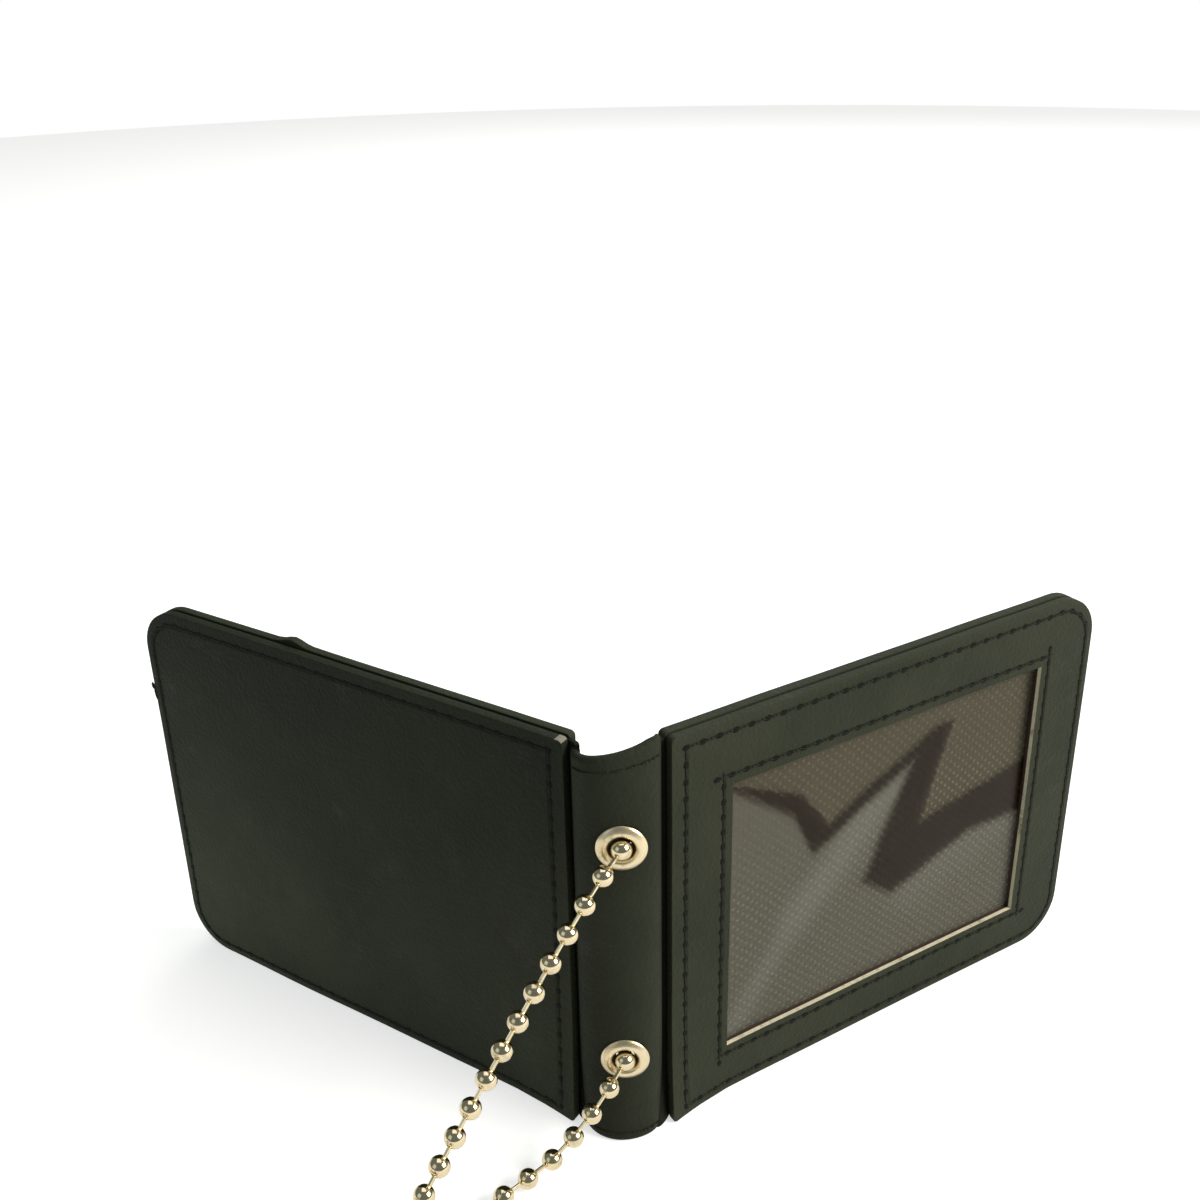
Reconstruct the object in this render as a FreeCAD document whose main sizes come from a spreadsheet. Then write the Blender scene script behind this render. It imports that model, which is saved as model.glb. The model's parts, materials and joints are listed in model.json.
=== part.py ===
# Id badge wallet: a spine strip with a neck ball chain and two window panels that fold
# about it and close with a magnetic snap. Lengths are in mm.
# X runs along the opened wallet, Z is up, and the V opens towards +Y.
import FreeCAD, Part
import math
import os
import Sketcher

Vector = FreeCAD.Vector
Placement = FreeCAD.Placement
Rotation = FreeCAD.Rotation

SIZES = [
    ("half_share", 0.5),
    ("half_open_angle", 57.6),
    # panels
    ("panel_width", 107.6),
    ("panel_height", 87.4),
    ("panel_corner", 10.0),
    ("panel_fold_corner", 1.5),
    ("fold_gap", 1.3),
    ("fold_half_span", 7.3),
    ("leather", 0.9),
    ("rim", 0.9),
    ("hem_width", 6.0),
    ("board_play", 0.15),
    ("stiffener_thick", 0.7),
    ("backing_thick", 0.4),
    ("card_slot", 0.6),
    ("vinyl_thick", 0.3),
    ("frame_board_thick", 0.6),
    ("front_window_start", 13.5),
    ("front_window_end", 14.5),
    ("front_window_bottom", 11.4),
    ("front_window_top", 13.9),
    ("rear_window_start", 12.6),
    ("rear_window_bottom", 13.3),
    ("rear_window_top", 13.3),
    # magnetic snap
    ("snap_inset", 12.9),
    ("snap_above_middle", 2.9),
    ("snap_window_margin", 1.5),
    ("snap_radius", 7.0),
    ("snap_edge", 0.5),
    ("stud_disc_thick", 1.0),
    ("stud_radius", 2.3),
    ("stud_rise", 2.1),
    ("stud_tip", 0.5),
    ("socket_thick", 3.2),
    ("socket_hole", 2.7),
    ("socket_lip", 0.6),
    ("socket_wall", 0.5),
    ("socket_play", 0.1),
    ("socket_base_thick", 0.5),
    ("washer_radius", 4.5),
    ("washer_thick", 0.4),
    ("prong_reach", 2.6),
    ("prong_thick", 0.4),
    ("prong_width", 2.0),
    ("prong_foot", 1.2),
    ("prong_foot_thick", 0.15),
    ("prong_play", 0.1),
    # spine strip
    ("spine_setback", 0.4),
    ("spine_flat", 3.5),
    ("spine_bow", 4.6),
    ("cover_thick", 1.0),
    ("lining_thick", 0.8),
    ("hem_thick", 0.6),
    ("spine_top_hem", 9.0),
    ("spine_bottom_hem", 5.0),
    # eyelets
    ("eyelet_side", 0.5),
    ("upper_eyelet_clear", 7.0),
    ("lower_eyelet_clear", 11.2),
    ("eyelet_hole", 2.35),
    ("eyelet_barrel", 2.75),
    ("eyelet_play", 0.05),
    ("flange_radius", 4.65),
    ("flange_crown", 3.6),
    ("flange_rise", 0.9),
    ("flange_edge", 0.25),
    ("roll_radius", 3.0),
    ("roll_thick", 0.6),
    # ball chain
    ("ball_radius", 2.0),
    ("ball_pitch", 5.8),
    ("link_radius", 0.45),
    ("ball_out", 0.5),
    ("inner_step", 3.0),
    ("arc_share", 0.45),
    ("upper_bend_x", -40.2),
    ("upper_bend_y", -39.2),
    ("upper_bend_z", 6.2),
    ("upper_lead", 20.0),
    ("lower_land_x", -15.0),
    ("lower_land_y", -15.2),
    ("lower_land_z", 2.1),
    ("lower_bend_x", -30.0),
    ("lower_bend_y", -30.7),
    ("lower_lead", 19.0),
    # put-away coil and its tie
    ("coil_x", -68.0),
    ("coil_y", -68.0),
    ("coil_radius", 25.2),
    ("coil_step", 4.5),
    ("coil_floor", 3.0),
    ("coil_climb", 4.6),
    ("coil_dip", 1.5),
    ("coil_enter_angle", -60.0),
    ("coil_travel_angle", 1635.0),
    ("least_gap", 0.4),
    ("tie_angle", 20.0),
    ("tie_thick", 0.8),
    ("tie_width", 5.0),
    ("tie_play", 0.5),
    ("tie_under", 0.1),
    # chain connector
    ("connector_seat_span", 14.5),
    ("connector_width", 6.4),
    ("connector_depth", 5.2),
    ("connector_wall", 0.5),
    ("connector_lip", 0.9),
    ("connector_slot", 1.5),
    ("connector_play", 0.05),
]


class Size:
    """A length of the sheet, or a sum of some, as its value and its formula."""

    def __init__(self, value, text):
        self.value = value
        self.text = text

    def __add__(self, other):
        return Size(self.value + other.value, "(%s + %s)" % (self.text, other.text))

    def __sub__(self, other):
        return Size(self.value - other.value, "(%s - %s)" % (self.text, other.text))

    def __mul__(self, other):
        return Size(self.value * other.value, "(%s * %s)" % (self.text, other.text))

    def __truediv__(self, other):
        return Size(self.value / other.value, "(%s / %s)" % (self.text, other.text))

    def __neg__(self):
        return Size(-self.value, "(-%s)" % self.text)


doc = FreeCAD.newDocument("badge_wallet")
sheet = doc.addObject("Spreadsheet::Sheet", "Sizes")
for row, (alias, number) in enumerate(SIZES, start=1):
    sheet.set("A%d" % row, alias)
    sheet.set("B%d" % row, repr(number))
    sheet.setAlias("B%d" % row, alias)
doc.recompute()

S = {}
for alias, number in SIZES:
    S[alias] = Size(float(sheet.get(alias)), "Sizes." + alias)
ZERO = Size(0, "0")
HALF = S["half_share"]
NODES = []


def sketch_in(body, name, role, start=ZERO):
    """An empty sketch on a plane of the body, moved along the plane's normal by start."""
    sketch = body.newObject("Sketcher::SketchObject", name)
    plane = [item for item in body.Origin.OriginFeatures if item.Role == role][0]
    sketch.AttachmentSupport = [(plane, "")]
    sketch.MapMode = "FlatFace"
    if start.text != "0":
        sketch.AttachmentOffset = Placement(Vector(0, 0, start.value), Rotation())
        sketch.setExpression("AttachmentOffset.Base.z", start.text)
    return sketch


def hold(sketch, kind, first, second, size):
    """A driven dimension from the sketch's origin to a point."""
    if size.text == "0":
        axis = -2 if kind == "DistanceX" else -1
        sketch.addConstraint(Sketcher.Constraint("PointOnObject", first, second, axis))
        return
    index = sketch.addConstraint(Sketcher.Constraint(kind, -1, 1, first, second, size.value))
    name = "size_%d" % index
    sketch.renameConstraint(index, name)
    sketch.setExpression("Constraints." + name, size.text)


def hold_radius(sketch, geometry, size):
    index = sketch.addConstraint(Sketcher.Constraint("Radius", geometry, size.value))
    name = "radius_%d" % index
    sketch.renameConstraint(index, name)
    sketch.setExpression("Constraints." + name, size.text)


def draw_loop(sketch, corners):
    """A closed outline of (x, y, bend) corners. The edge that leaves a corner is straight
    when bend is None, else an arc of bend[0] that turns left (1) or right (-1)."""
    ends = []
    for index, (x, y, bend) in enumerate(corners):
        next_x, next_y, _ = corners[(index + 1) % len(corners)]
        a = Vector(x.value, y.value, 0)
        b = Vector(next_x.value, next_y.value, 0)
        if bend is None:
            edge = sketch.addGeometry(Part.LineSegment(a, b))
            ends.append((edge, 1, 2))
            continue
        radius, turn = bend
        chord = b - a
        rise = math.sqrt(max(radius.value ** 2 - chord.Length ** 2 / 4, 0))
        side = Vector(-chord.y, chord.x, 0)
        side.normalize()
        centre = (a + b) * HALF.value + side * (rise * turn)
        from_angle = math.atan2(a.y - centre.y, a.x - centre.x)
        to_angle = math.atan2(b.y - centre.y, b.x - centre.x)
        if turn < 0:
            from_angle, to_angle = to_angle, from_angle
        if to_angle <= from_angle:
            to_angle += 2 * math.pi
        circle = Part.Circle(centre, Vector(0, 0, 1), radius.value)
        edge = sketch.addGeometry(Part.ArcOfCircle(circle, from_angle, to_angle))
        ends.append((edge, 1, 2) if turn > 0 else (edge, 2, 1))
    for index, (edge, start, end) in enumerate(ends):
        after, after_start, _ = ends[(index + 1) % len(ends)]
        sketch.addConstraint(Sketcher.Constraint("Coincident", edge, end, after, after_start))
    for (edge, start, end), (x, y, bend) in zip(ends, corners):
        hold(sketch, "DistanceX", edge, start, x)
        hold(sketch, "DistanceY", edge, start, y)
        if bend is not None:
            hold_radius(sketch, edge, bend[0])


def draw_circle(sketch, x, y, radius):
    circle = Part.Circle(Vector(x.value, y.value, 0), Vector(0, 0, 1), radius.value)
    edge = sketch.addGeometry(circle)
    hold(sketch, "DistanceX", edge, 3, x)
    hold(sketch, "DistanceY", edge, 3, y)
    hold_radius(sketch, edge, radius)


def new_body(label):
    body = doc.addObject("PartDesign::Body", label)
    body.Label = label
    return body


def pad(body, sketch, length):
    feature = body.newObject("PartDesign::Pad", "pad")
    feature.Profile = sketch
    feature.Length = length.value
    feature.setExpression("Length", length.text)
    sketch.Visibility = False
    return feature


def revolve(label, outline):
    """A body of revolution about Z from (radius, height) corners."""
    body = new_body(label)
    sketch = sketch_in(body, label + "_outline", "XZ_Plane")
    draw_loop(sketch, [(x, y, None) for x, y in outline])
    feature = body.newObject("PartDesign::Revolution", "turn")
    feature.Profile = sketch
    feature.ReferenceAxis = (sketch, ["V_Axis"])
    feature.Angle = 360
    return body


def box(label, corner, sides):
    block = doc.addObject("Part::Box", label)
    for axis, size in zip("xyz", corner):
        block.setExpression("Placement.Base." + axis, size.text)
    for name, size in zip(("Length", "Width", "Height"), sides):
        block.setExpression(name, size.text)
    return block


def cut(label, base, tool):
    result = doc.addObject("Part::Cut", label)
    result.Base = base
    result.Tool = tool
    return result


def fuse(label, shapes):
    result = doc.addObject("Part::MultiFuse", label)
    result.Shapes = shapes
    return result


def group(label, shapes):
    result = doc.addObject("Part::Compound", label)
    result.Links = shapes
    return result


def keep(item, label, place):
    """Gives a finished piece its label and place in the wallet."""
    item.Label = label
    item.Placement = place.multiply(item.Placement)
    NODES.append(item)


# The wallet's box is centred on the origin, so the fold lines stand behind it.
open_angle = math.radians(S["half_open_angle"].value)
stack = (S["leather"] + S["stiffener_thick"] + S["backing_thick"] + S["card_slot"]
         + S["vinyl_thick"] + S["frame_board_thick"] + S["leather"])
reach = (S["fold_gap"] + S["panel_width"]).value
back = reach * math.cos(open_angle) + (stack * HALF).value * math.sin(open_angle)
front = (S["spine_bow"] + S["cover_thick"] + S["flange_rise"]).value
fold_y = (front - back) * HALF.value


def panel_place(side):
    """Panel frame: x runs from the fold line to the free edge, y is up, and z goes from the
    plain face to the window face. The front panel is side 1 and the rear panel is side -1."""
    along = Vector(side * math.sin(open_angle), math.cos(open_angle), 0)
    up = Vector(0, 0, 1)
    through = along.cross(up)
    fold = Vector(side * S["fold_half_span"].value, fold_y, 0)
    return Placement(fold - through * (stack * HALF).value, Rotation(along, up, through))


U0 = S["fold_gap"]
U1 = U0 + S["panel_width"]
TOP = S["panel_height"]


def panel_outline(inset, fold_radius, free_radius):
    """The panel's outline drawn in by inset, left-turning from its lower fold corner."""
    a = U0 + inset
    b = U1 - inset
    c = inset
    d = TOP - inset
    return [
        (a + fold_radius, c, None),
        (b - free_radius, c, (free_radius, 1)),
        (b, c + free_radius, None),
        (b, d - free_radius, (free_radius, 1)),
        (b - free_radius, d, None),
        (a + fold_radius, d, (fold_radius, 1)),
        (a, d - fold_radius, None),
        (a, c + fold_radius, (fold_radius, 1)),
    ]


def full_outline():
    return panel_outline(ZERO, S["panel_fold_corner"], S["panel_corner"])


def inset_outline(inset):
    return panel_outline(inset, S["panel_fold_corner"] - S["rim"], S["panel_corner"] - inset)


def hem_outline():
    """The turned hem on three sides, which leaves the slot's mouth open at the top."""
    inner_a = U0 + S["hem_width"]
    inner_b = U1 - S["hem_width"]
    end = TOP - S["panel_corner"]
    corner = S["panel_corner"]
    fold = S["panel_fold_corner"]
    return [
        (U0 + fold, ZERO, None),
        (U1 - corner, ZERO, (corner, 1)),
        (U1, corner, None),
        (U1, end, None),
        (inner_b, end, None),
        (inner_b, S["hem_width"], None),
        (inner_a, S["hem_width"], None),
        (inner_a, end, None),
        (U0, end, None),
        (U0, fold, (fold, 1)),
    ]


def rectangle(x, y, width, height):
    return [(x, y, None), (x + width, y, None), (x + width, y + height, None), (x, y + height, None)]


def prong_slots(sketch, x, y):
    """Two slits for the snap's prongs, either side of the point x, y."""
    width = S["prong_width"] + S["prong_play"]
    thick = S["prong_thick"] + S["prong_play"]
    low = y - width * HALF
    draw_loop(sketch, rectangle(x + S["prong_reach"] - S["prong_play"] * HALF, low, thick, width))
    draw_loop(sketch, rectangle(x - S["prong_reach"] + S["prong_play"] * HALF - thick, low, thick, width))


SNAP_X = U1 - S["snap_inset"]
SNAP_Y = TOP * HALF + S["snap_above_middle"]
BOARD_HOLE = S["washer_radius"] + S["board_play"] + S["board_play"]
WINDOW_END = {
    "front": S["front_window_end"],
    "rear": S["snap_inset"] + BOARD_HOLE + S["snap_window_margin"],
}
W_BOARD = S["leather"]
W_CLOTH = W_BOARD + S["stiffener_thick"]
W_SLOT = W_CLOTH + S["backing_thick"]
W_VINYL = W_SLOT + S["card_slot"]
W_FRAME_BOARD = W_VINYL + S["vinyl_thick"]
W_FRAME = W_FRAME_BOARD + S["frame_board_thick"]
BOARD_INSET = S["rim"] + S["board_play"]


def sheet_body(label, start, thick, outline, holes=(), round_hole=None):
    body = new_body(label)
    sketch = sketch_in(body, label + "_outline", "XY_Plane", start)
    draw_loop(sketch, outline)
    for hole in holes:
        draw_loop(sketch, hole)
    if round_hole is not None:
        draw_circle(sketch, round_hole[0], round_hole[1], round_hole[2])
    pad(body, sketch, thick)
    return body


def board_outline():
    return panel_outline(BOARD_INSET, S["panel_fold_corner"] - BOARD_INSET, S["panel_corner"] - BOARD_INSET)


def make_panel(name, side):
    place = panel_place(side)
    start = S[name + "_window_start"]
    bottom = S[name + "_window_bottom"]
    window = rectangle(
        U0 + start, bottom, S["panel_width"] - start - WINDOW_END[name],
        TOP - bottom - S[name + "_window_top"])
    stud_side = name == "front"

    # plain plate: facing leather turned round the stiffener, woven backing on the pocket side
    facing = new_body(name + "_facing_leather")
    face = sketch_in(facing, name + "_facing_face", "XY_Plane")
    draw_loop(face, full_outline())
    if stud_side:
        prong_slots(face, SNAP_X, SNAP_Y)
    pad(facing, face, S["leather"])
    wall = sketch_in(facing, name + "_facing_rim", "XY_Plane", W_BOARD)
    draw_loop(wall, full_outline())
    draw_loop(wall, inset_outline(S["rim"]))
    pad(facing, wall, S["stiffener_thick"])
    hem = sketch_in(facing, name + "_facing_hem", "XY_Plane", W_CLOTH)
    draw_loop(hem, full_outline())
    draw_loop(hem, inset_outline(S["hem_width"]))
    pad(facing, hem, S["backing_thick"])
    keep(facing, name + "_facing_leather", place)

    hole = (SNAP_X, SNAP_Y, BOARD_HOLE)
    stiffener = sheet_body(
        name + "_stiffener_board", W_BOARD, S["stiffener_thick"], board_outline(),
        round_hole=hole if stud_side else None)
    keep(stiffener, name + "_stiffener_board", place)
    cloth_inset = S["hem_width"] + S["board_play"]
    backing = sheet_body(
        name + "_pocket_backing", W_CLOTH, S["backing_thick"], inset_outline(cloth_inset))
    keep(backing, name + "_pocket_backing", place)

    # window plate: clear vinyl, pale frame board and frame leather with its hem
    vinyl = sheet_body(name + "_window_vinyl", W_VINYL, S["vinyl_thick"], board_outline())
    keep(vinyl, name + "_window_vinyl", place)
    board = sheet_body(
        name + "_frame_board", W_FRAME_BOARD, S["frame_board_thick"], board_outline(),
        holes=[window], round_hole=None if stud_side else hole)
    keep(board, name + "_frame_board", place)
    frame = new_body(name + "_frame_leather")
    spacer = sketch_in(frame, name + "_frame_hem", "XY_Plane", W_SLOT)
    draw_loop(spacer, hem_outline())
    pad(frame, spacer, S["card_slot"])
    wall = sketch_in(frame, name + "_frame_rim", "XY_Plane", W_VINYL)
    draw_loop(wall, full_outline())
    draw_loop(wall, inset_outline(S["rim"]))
    pad(frame, wall, S["vinyl_thick"] + S["frame_board_thick"])
    face = sketch_in(frame, name + "_frame_face", "XY_Plane", W_FRAME)
    draw_loop(face, full_outline())
    draw_loop(face, window)
    if not stud_side:
        prong_slots(face, SNAP_X, SNAP_Y)
    pad(frame, face, S["leather"])
    keep(frame, name + "_frame_leather", place)


def make_prongs(label, place):
    """Two bent prongs that go down through the leather and the washer."""
    down = S["leather"] + S["washer_thick"] + S["prong_foot_thick"]
    solids = []
    for hand in ("right", "left"):
        leg_x = S["prong_reach"]
        foot_x = S["prong_reach"] + S["prong_thick"]
        if hand == "left":
            leg_x = -(S["prong_reach"] + S["prong_thick"])
            foot_x = leg_x - S["prong_foot"]
        low = -(S["prong_width"] * HALF)
        leg = box(label + "_leg_" + hand, (leg_x, low, -down), (S["prong_thick"], S["prong_width"], down))
        foot = box(
            label + "_foot_" + hand, (foot_x, low, -down),
            (S["prong_foot"], S["prong_width"], S["prong_foot_thick"]))
        solids.append(fuse(label + "_" + hand, [leg, foot]))
    pair = group(label, solids)
    doc.recompute()
    keep(pair, label, place)


def make_washer(label, place):
    body = new_body(label)
    base = -(S["leather"] + S["washer_thick"])
    sketch = sketch_in(body, label + "_outline", "XY_Plane", base)
    draw_circle(sketch, ZERO, ZERO, S["washer_radius"])
    prong_slots(sketch, ZERO, ZERO)
    pad(body, sketch, S["washer_thick"])
    keep(body, label, place)


def make_stud():
    centre = Placement(Vector(SNAP_X.value, SNAP_Y.value, 0), Rotation(Vector(1, 0, 0), 180))
    place = panel_place(1).multiply(centre)
    disc = S["stud_disc_thick"]
    top = disc + S["stud_rise"]
    stud = revolve("snap_stud", [
        (ZERO, ZERO),
        (S["snap_radius"], ZERO),
        (S["snap_radius"], disc - S["snap_edge"]),
        (S["snap_radius"] - S["snap_edge"], disc),
        (S["stud_radius"], disc),
        (S["stud_radius"], top - S["stud_tip"]),
        (S["stud_radius"] - S["stud_tip"], top),
        (ZERO, top),
    ])
    keep(stud, "snap_stud", place)
    make_prongs("snap_stud_prongs", place)
    make_washer("snap_stud_washer", place)


def make_socket():
    centre = Placement(Vector(SNAP_X.value, SNAP_Y.value, stack.value), Rotation())
    place = panel_place(-1).multiply(centre)
    outer = S["snap_radius"]
    inner = outer - S["socket_wall"]
    top = S["socket_thick"]
    under = top - S["socket_lip"]
    case = revolve("snap_socket_case", [
        (inner, ZERO),
        (outer, ZERO),
        (outer, top - S["snap_edge"]),
        (outer - S["snap_edge"], top),
        (S["socket_hole"] + S["snap_edge"], top),
        (S["socket_hole"], top - S["snap_edge"]),
        (S["socket_hole"], under),
        (inner, under),
    ])
    keep(case, "snap_socket_case", place)
    edge = inner - S["socket_play"]
    magnet = revolve("snap_socket_magnet", [
        (S["socket_hole"] + S["socket_play"], S["socket_base_thick"]),
        (edge, S["socket_base_thick"]),
        (edge, under),
        (S["socket_hole"] + S["socket_play"], under),
    ])
    keep(magnet, "snap_socket_magnet", place)
    base = revolve("snap_socket_base", [
        (ZERO, ZERO), (edge, ZERO), (edge, S["socket_base_thick"]), (ZERO, S["socket_base_thick"])])
    keep(base, "snap_socket_base", place)
    make_prongs("snap_socket_prongs", place)
    make_washer("snap_socket_washer", place)


# spine strip: a flat middle with a rounded bend down to each fold line
SPINE_TOP = TOP - S["spine_setback"]
EYELET_HEIGHT = {
    "upper": SPINE_TOP - S["spine_top_hem"] - S["roll_radius"] - S["upper_eyelet_clear"],
    "lower": S["spine_bottom_hem"] + S["roll_radius"] + S["lower_eyelet_clear"],
}
SPAN = S["fold_half_span"] - S["spine_flat"]
BEND = (SPAN * SPAN + S["spine_bow"] * S["spine_bow"]) / (S["spine_bow"] + S["spine_bow"])


def strip_outline(outer, inner):
    """Plan of one layer, from inner to outer measured outwards from the strip's middle line."""
    f = S["spine_flat"]

    def end(offset):
        share = (BEND + offset) / BEND
        x = f + SPAN * share
        y = BEND - S["spine_bow"] + (S["spine_bow"] - BEND) * share
        return x, y

    outer_x, outer_y = end(outer)
    inner_x, inner_y = end(inner)
    low = -(S["spine_bow"] + outer)
    high = -(S["spine_bow"] + inner)
    return [
        (-outer_x, outer_y, (BEND + outer, 1)),
        (-f, low, None),
        (f, low, (BEND + outer, 1)),
        (outer_x, outer_y, None),
        (inner_x, inner_y, (BEND + inner, -1)),
        (f, high, None),
        (-f, high, (BEND + inner, -1)),
        (-inner_x, inner_y, None),
    ]


def strip_layer(body, name, outer, inner, start, height):
    sketch = sketch_in(body, name, "XY_Plane", start)
    draw_loop(sketch, strip_outline(outer, inner))
    pad(body, sketch, height)


def eyelet_holes(body, name):
    sketch = sketch_in(body, name, "XZ_Plane")
    radius = S["eyelet_barrel"] + S["eyelet_play"]
    draw_circle(sketch, S["eyelet_side"], EYELET_HEIGHT["upper"], radius)
    draw_circle(sketch, S["eyelet_side"], EYELET_HEIGHT["lower"], radius)
    doc.recompute()
    before = body.Shape.Volume
    pocket = body.newObject("PartDesign::Pocket", "eyelet_holes")
    pocket.Profile = sketch
    pocket.Type = "ThroughAll"
    pocket.Midplane = True
    doc.recompute()
    if body.Shape.Volume >= before:
        raise RuntimeError("eyelet holes cut nothing in " + name)


def make_spine():
    place = Placement(Vector(0, fold_y, 0), Rotation())
    fold = S["hem_thick"]
    inside = -S["lining_thick"]
    deepest = inside - S["hem_thick"]
    top = SPINE_TOP
    cover = new_body("spine_cover")
    strip_layer(cover, "cover_face", S["cover_thick"], ZERO, ZERO, top)
    strip_layer(cover, "cover_bottom_fold", S["cover_thick"], deepest, ZERO, fold)
    strip_layer(cover, "cover_top_fold", S["cover_thick"], deepest, top - fold, fold)
    strip_layer(cover, "cover_bottom_hem", inside, deepest, ZERO, S["spine_bottom_hem"])
    strip_layer(cover, "cover_top_hem", inside, deepest, top - S["spine_top_hem"], S["spine_top_hem"])
    eyelet_holes(cover, "cover_holes")
    keep(cover, "spine_cover", place)
    lining = new_body("spine_lining")
    strip_layer(lining, "lining_face", ZERO, inside, fold, top - fold - fold)
    eyelet_holes(lining, "lining_holes")
    keep(lining, "spine_lining", place)

    through = S["cover_thick"] + S["lining_thick"]
    for name in ("upper", "lower"):
        label = name + "_eyelet"
        eyelet = revolve(label, [
            (S["eyelet_hole"], -(through + S["roll_thick"])),
            (S["roll_radius"], -(through + S["roll_thick"])),
            (S["roll_radius"], -through),
            (S["eyelet_barrel"], -through),
            (S["eyelet_barrel"], ZERO),
            (S["flange_radius"], ZERO),
            (S["flange_radius"], S["flange_edge"]),
            (S["flange_crown"], S["flange_rise"]),
            (S["eyelet_barrel"], S["flange_rise"]),
            (S["eyelet_hole"], S["flange_edge"]),
        ])
        seat_y = fold_y - (S["spine_bow"] + S["cover_thick"]).value
        seat = Vector(S["eyelet_side"].value, seat_y, EYELET_HEIGHT[name].value)
        keep(eyelet, label, Placement(seat, Rotation(Vector(1, 0, 0), 90)))


# The ball chain is laid along straight runs and tangent arcs.
BALL = S["ball_radius"].value
PITCH = S["ball_pitch"].value
LINK = S["link_radius"].value


def solid_feature(label, shape):
    item = doc.addObject("Part::Feature", label)
    item.Shape = shape
    item.Label = label
    NODES.append(item)


def route_edges(label, points):
    """Straight runs with an arc at each inner point, as large as the shorter run allows."""
    edges = []
    radii = []
    at = points[0]
    for before, point, after in zip(points, points[1:], points[2:]):
        arrive = point - before
        leave = after - point
        shorter = min(arrive.Length, leave.Length)
        arrive.normalize()
        leave.normalize()
        half_turn = arrive.getAngle(leave) * HALF.value
        take = S["arc_share"].value * shorter
        radii.append(take / math.tan(half_turn))
        start = point - arrive * take
        end = point + leave * take
        inward = leave - arrive
        inward.normalize()
        depth = radii[-1] / math.cos(half_turn) - radii[-1]
        edges.append(Part.LineSegment(at, start).toShape())
        edges.append(Part.Arc(start, point + inward * depth, end).toShape())
        at = end
    edges.append(Part.LineSegment(at, points[-1]).toShape())
    print(label, "radii", [round(radius, 1) for radius in radii])
    return edges


def tube(edges, radius):
    """A round tube along the edges, checked against its section times its length."""
    wire = Part.Wire(edges)
    start = edges[0].valueAt(edges[0].FirstParameter)
    direction = edges[0].tangentAt(edges[0].FirstParameter)
    ring = Part.Wire([Part.Circle(start, direction, radius).toShape()])
    solid = wire.makePipeShell([ring], True, False)
    expected = math.pi * radius ** 2 * wire.Length
    print("tube volume share", round(solid.Volume / expected, 3), "length", round(wire.Length, 1))
    return solid


def bead(label, edges, distances):
    """Balls at the given distances along the edges, on one link wire."""
    shape = tube(edges, LINK)
    balls = []
    for distance in distances:
        left = distance
        for edge in edges:
            if left <= edge.Length or edge is edges[-1]:
                balls.append(Part.makeSphere(BALL, edge.valueAt(edge.getParameterByLength(left))))
                break
            left -= edge.Length
    solid = shape.multiFuse(balls).removeSplitter()
    if len(solid.Solids) != 1:
        raise RuntimeError("chain in pieces: " + label)
    solid_feature(label, solid.Solids[0])


def biarc(p0, t0, p1, t1):
    """Two tangent arcs from p0 along t0 to p1 along t1."""
    v = p1 - p0
    t = t0 + t1
    twist = 2 * (1 - t0.dot(t1))
    along = v.dot(t)
    d = (math.sqrt(along ** 2 + twist * v.dot(v)) - along) / twist
    q0 = p0 + t0 * d
    q1 = p1 - t1 * d
    joint = (q0 + q1) * HALF.value
    arcs = []
    for a, q, b in ((p0, q0, joint), (joint, q1, p1)):
        middle = (a + b) * HALF.value
        chord = (b - a).Length
        lift = q - middle
        angle = math.atan2(lift.Length, chord * HALF.value)
        lift.normalize()
        crest = middle + lift * (chord * HALF.value * math.tan(angle * HALF.value))
        arcs.append(Part.Arc(a, crest, b).toShape())
    return arcs


def coil_point(travel):
    """The coil's middle line after a turn of travel degrees: in on the lower layer, up a
    layer in the half turn where the spiral reverses, and out again on the upper layer."""
    whole = S["coil_travel_angle"].value
    spiral = (whole - 180) * HALF.value
    step = S["coil_step"].value
    if travel <= spiral:
        radius = S["coil_radius"].value - step * travel / 360
        height = 0
    elif travel <= spiral + 180:
        climb = (travel - spiral) / 180
        dip = S["coil_dip"].value * math.sin(math.pi * climb) ** 2
        radius = S["coil_radius"].value - step * spiral / 360 - dip
        height = (1 - math.cos(math.pi * climb)) * HALF.value
    else:
        radius = S["coil_radius"].value - step * (whole - travel) / 360
        height = 1
    angle = math.radians(S["coil_enter_angle"].value - travel)
    x = S["coil_x"].value + radius * math.cos(angle)
    y = fold_y + S["coil_y"].value + radius * math.sin(angle)
    return Vector(x, y, S["coil_floor"].value + S["coil_climb"].value * height)


def coil_heading(travel):
    angle = math.radians(S["coil_enter_angle"].value - travel)
    flat = Vector(math.sin(angle), -math.cos(angle), 0)
    spiral = (S["coil_travel_angle"].value - 180) * HALF.value
    if spiral < travel < spiral + 180:
        ahead = coil_point(travel + HALF.value)
        behind = coil_point(travel - HALF.value)
        flat = ahead - behind
        flat.normalize()
    return flat


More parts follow.
